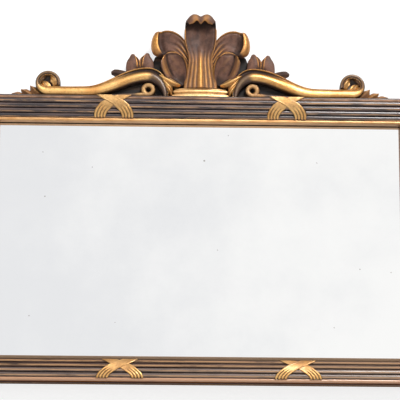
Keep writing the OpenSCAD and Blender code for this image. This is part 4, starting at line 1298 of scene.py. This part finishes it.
def bend(x, out, height, k, shift):
    """A place on the face of side k: x along it, out from the opening, height over the reeds' crowns."""
    lie = out - BUNDLE_OUT
    turn = lie / CROWNS_R
    deep = BUNDLE_DEEP + np.sqrt(CROWNS_R**2 - lie**2) + height * np.sqrt(1 - turn**2)
    half = MID_Z - SIGHT_LOW if k % 2 == 0 else SIGHT_X
    flat = np.stack([x + shift, -deep, half + out + height * turn], axis=-1)
    turned = Matrix.Rotation(math.radians(90 * k), 3, "Y")
    return flat @ np.array(turned).T + np.array([0, 0, MID_Z])


def tie(name, k, shift, flipped, inward):
    """The tie on side k of the frame. A flipped one has its points at the slip and its fringe outside."""
    point_end, tail_end = FACE_W - POINT_GAP, SLIP_W
    if flipped:
        point_end, tail_end = SLIP_W + POINT_GAP, FACE_W - FRINGE_GAP
    pieces = []
    for under, sign in ((True, -1.0), (False, 1.0)):
        x, share, height, gilt, low = ribbon_grid(under, inward)
        out = point_end + (tail_end - point_end) * share
        front = bend(sign * x, out, height, k, shift)
        back = bend(sign * x, out, 0 * height + BACK_GAP, k, shift)
        values = {"gilt": (gilt, 0 * gilt), "hollow": (low, 0 * low + 0.6)}
        pieces.append(carved_piece(f"{name}_{sign}", front, back, values, GILT, None))
    place_piece(name + "_carved", joined(name + "_carved", pieces), GILT, name)


# For each tie: its side, counted clockwise from the top, the shift along it, whether it is flipped, and how
# far its tails turn in, in millimetres
TIE_X, TIE_SHIFT = 0.234, 0.025
TIES = {
    "top_left": (0, -TIE_X, False, 8.0),
    "top_right": (0, TIE_X, False, 8.0),
    "bottom_left": (2, TIE_X - TIE_SHIFT, True, 0.0),
    "bottom_right": (2, -TIE_X - TIE_SHIFT, True, 0.0),
    "left_stile": (3, 0.0, True, 0.0),
    "right_stile": (1, 0.0, True, 0.0),
}
for place, plan in TIES.items():
    tie("ribbon_tie_" + place, *plan)
print("ties made:", len(TIES))

# %% [markdown]
# ## Room and light
# The mirror hangs on a white wall over a pale floor. The light is one broad soft lamp from the right and
# above, a weaker one from the left, and a pale room that the plate and the gilding reflect. Seen from
# behind, the wall lets the view through, and it stops no light, so the lamp behind it shows the boards.


# %% Wall and floor
WHITE = (1, 1, 1, 1)


def sheet_object(name, corners, finish):
    mesh = bpy.data.meshes.new(name)
    mesh.from_pydata(corners, [], [tuple(range(len(corners)))])
    mesh.materials.append(finish)
    put(name, mesh)


def backdrop(name, colour, glow, one_sided):
    """A matt sheet that glows for the eye and in reflections. A one-sided one is clear from behind."""
    made, tree, where = start_material(name)
    light_path = add(tree, "ShaderNodeLightPath").outputs
    seen = larger(tree, light_path["Is Camera Ray"], light_path["Is Glossy Ray"])
    seen = larger(tree, seen, light_path["Is Transmission Ray"])
    shade = add(tree, "ShaderNodeBsdfDiffuse", {"Color": colour}).outputs[0]
    strength = times(tree, seen, glow)
    shine = add(tree, "ShaderNodeEmission", {"Color": WHITE, "Strength": strength}).outputs[0]
    surface = add(tree, "ShaderNodeAddShader", {0: shade, 1: shine}).outputs[0]
    if one_sided:
        clear = add(tree, "ShaderNodeBsdfTransparent").outputs[0]
        away = add(tree, "ShaderNodeNewGeometry").outputs["Backfacing"]
        away = larger(tree, away, light_path["Is Shadow Ray"])
        surface = blend_shader(tree, away, surface, clear)
    add(tree, "ShaderNodeOutputMaterial", {"Surface": surface})
    return made


WALL_Y, FLOOR_Z, ROOM, FLOOR_REACH = 0.0085, -1.25, 6.0, 9.0
wall = [(-ROOM, WALL_Y, FLOOR_Z), (ROOM, WALL_Y, FLOOR_Z), (ROOM, WALL_Y, ROOM), (-ROOM, WALL_Y, ROOM)]
floor = [(-ROOM, -FLOOR_REACH, FLOOR_Z), (ROOM, -FLOOR_REACH, FLOOR_Z),
         (ROOM, FLOOR_REACH, FLOOR_Z), (-ROOM, FLOOR_REACH, FLOOR_Z)]
sheet_object("wall", wall, backdrop("wall_white", (0.42, 0.42, 0.42, 1), 0.72, True))
sheet_object("floor", floor, backdrop("floor_pale", (0.7, 0.7, 0.69, 1), 0.3, False))


# %% Lamps
def lamp(name, place, target, size, power):
    data = bpy.data.lights.new(name, "AREA")
    data.shape = "RECTANGLE"
    data.size, data.size_y = size
    data.energy = power
    made = put(name, data)
    made.location = place
    made.rotation_euler = (Vector(target) - Vector(place)).to_track_quat("-Z", "Y").to_euler()


lamp("key", (1.2, -2.9, 2.9), (0, 0, 0.55), (1.3, 1.3), 115)
lamp("fill", (-3.4, -3.4, 1.6), (0, 0, 0.5), (2.4, 2.4), 28)
lamp("back", (1.5, 3.2, 2.2), (0, 0, 0.5), (2.4, 2.4), 60)
print("lamps:", len(bpy.data.lights))

# %% [markdown]
# The world is the room in front of the mirror. What the plate and the gilding reflect decides how they
# look: a white wall straight ahead fills the plate, and the sides of the room are darker, so the gold has
# its dark edges. A high window lights the tops of the carving.

# %% Surroundings
WHITE_WALL = (0.03, -0.965, 0.262)
HIGH_WINDOW = (0.2, -0.62, 0.76)

world = bpy.data.worlds.new("room")
bpy.context.scene.world = world
world.use_nodes = True
sky = world.node_tree
sky.nodes.clear()
rays = add(sky, "ShaderNodeLightPath").outputs
mirrored_ray = larger(sky, rays["Is Glossy Ray"], rays["Is Transmission Ray"])
toward = add(sky, "ShaderNodeTexCoord").outputs["Generated"]


def background(strength):
    return add(sky, "ShaderNodeBackground", {"Color": WHITE, "Strength": strength}).outputs[0]


ahead = vector_value(sky, "DOT_PRODUCT", toward, WHITE_WALL)
window = vector_value(sky, "DOT_PRODUCT", toward, HIGH_WINDOW)
sides = between(sky, split(sky, toward)[2], -0.3, 0.5, 0.16, 0.42)
room = blend_value(sky, between(sky, ahead, 0.82, 0.94), sides, 0.96)
room = blend_value(sky, between(sky, window, 0.87, 0.95), room, 1.35)
shader = blend_shader(sky, mirrored_ray, background(0.38), background(room))
shader = blend_shader(sky, rays["Is Camera Ray"], shader, background(1.0))
add(sky, "ShaderNodeOutputWorld", {"Surface": shader})
print("world:", world.name)
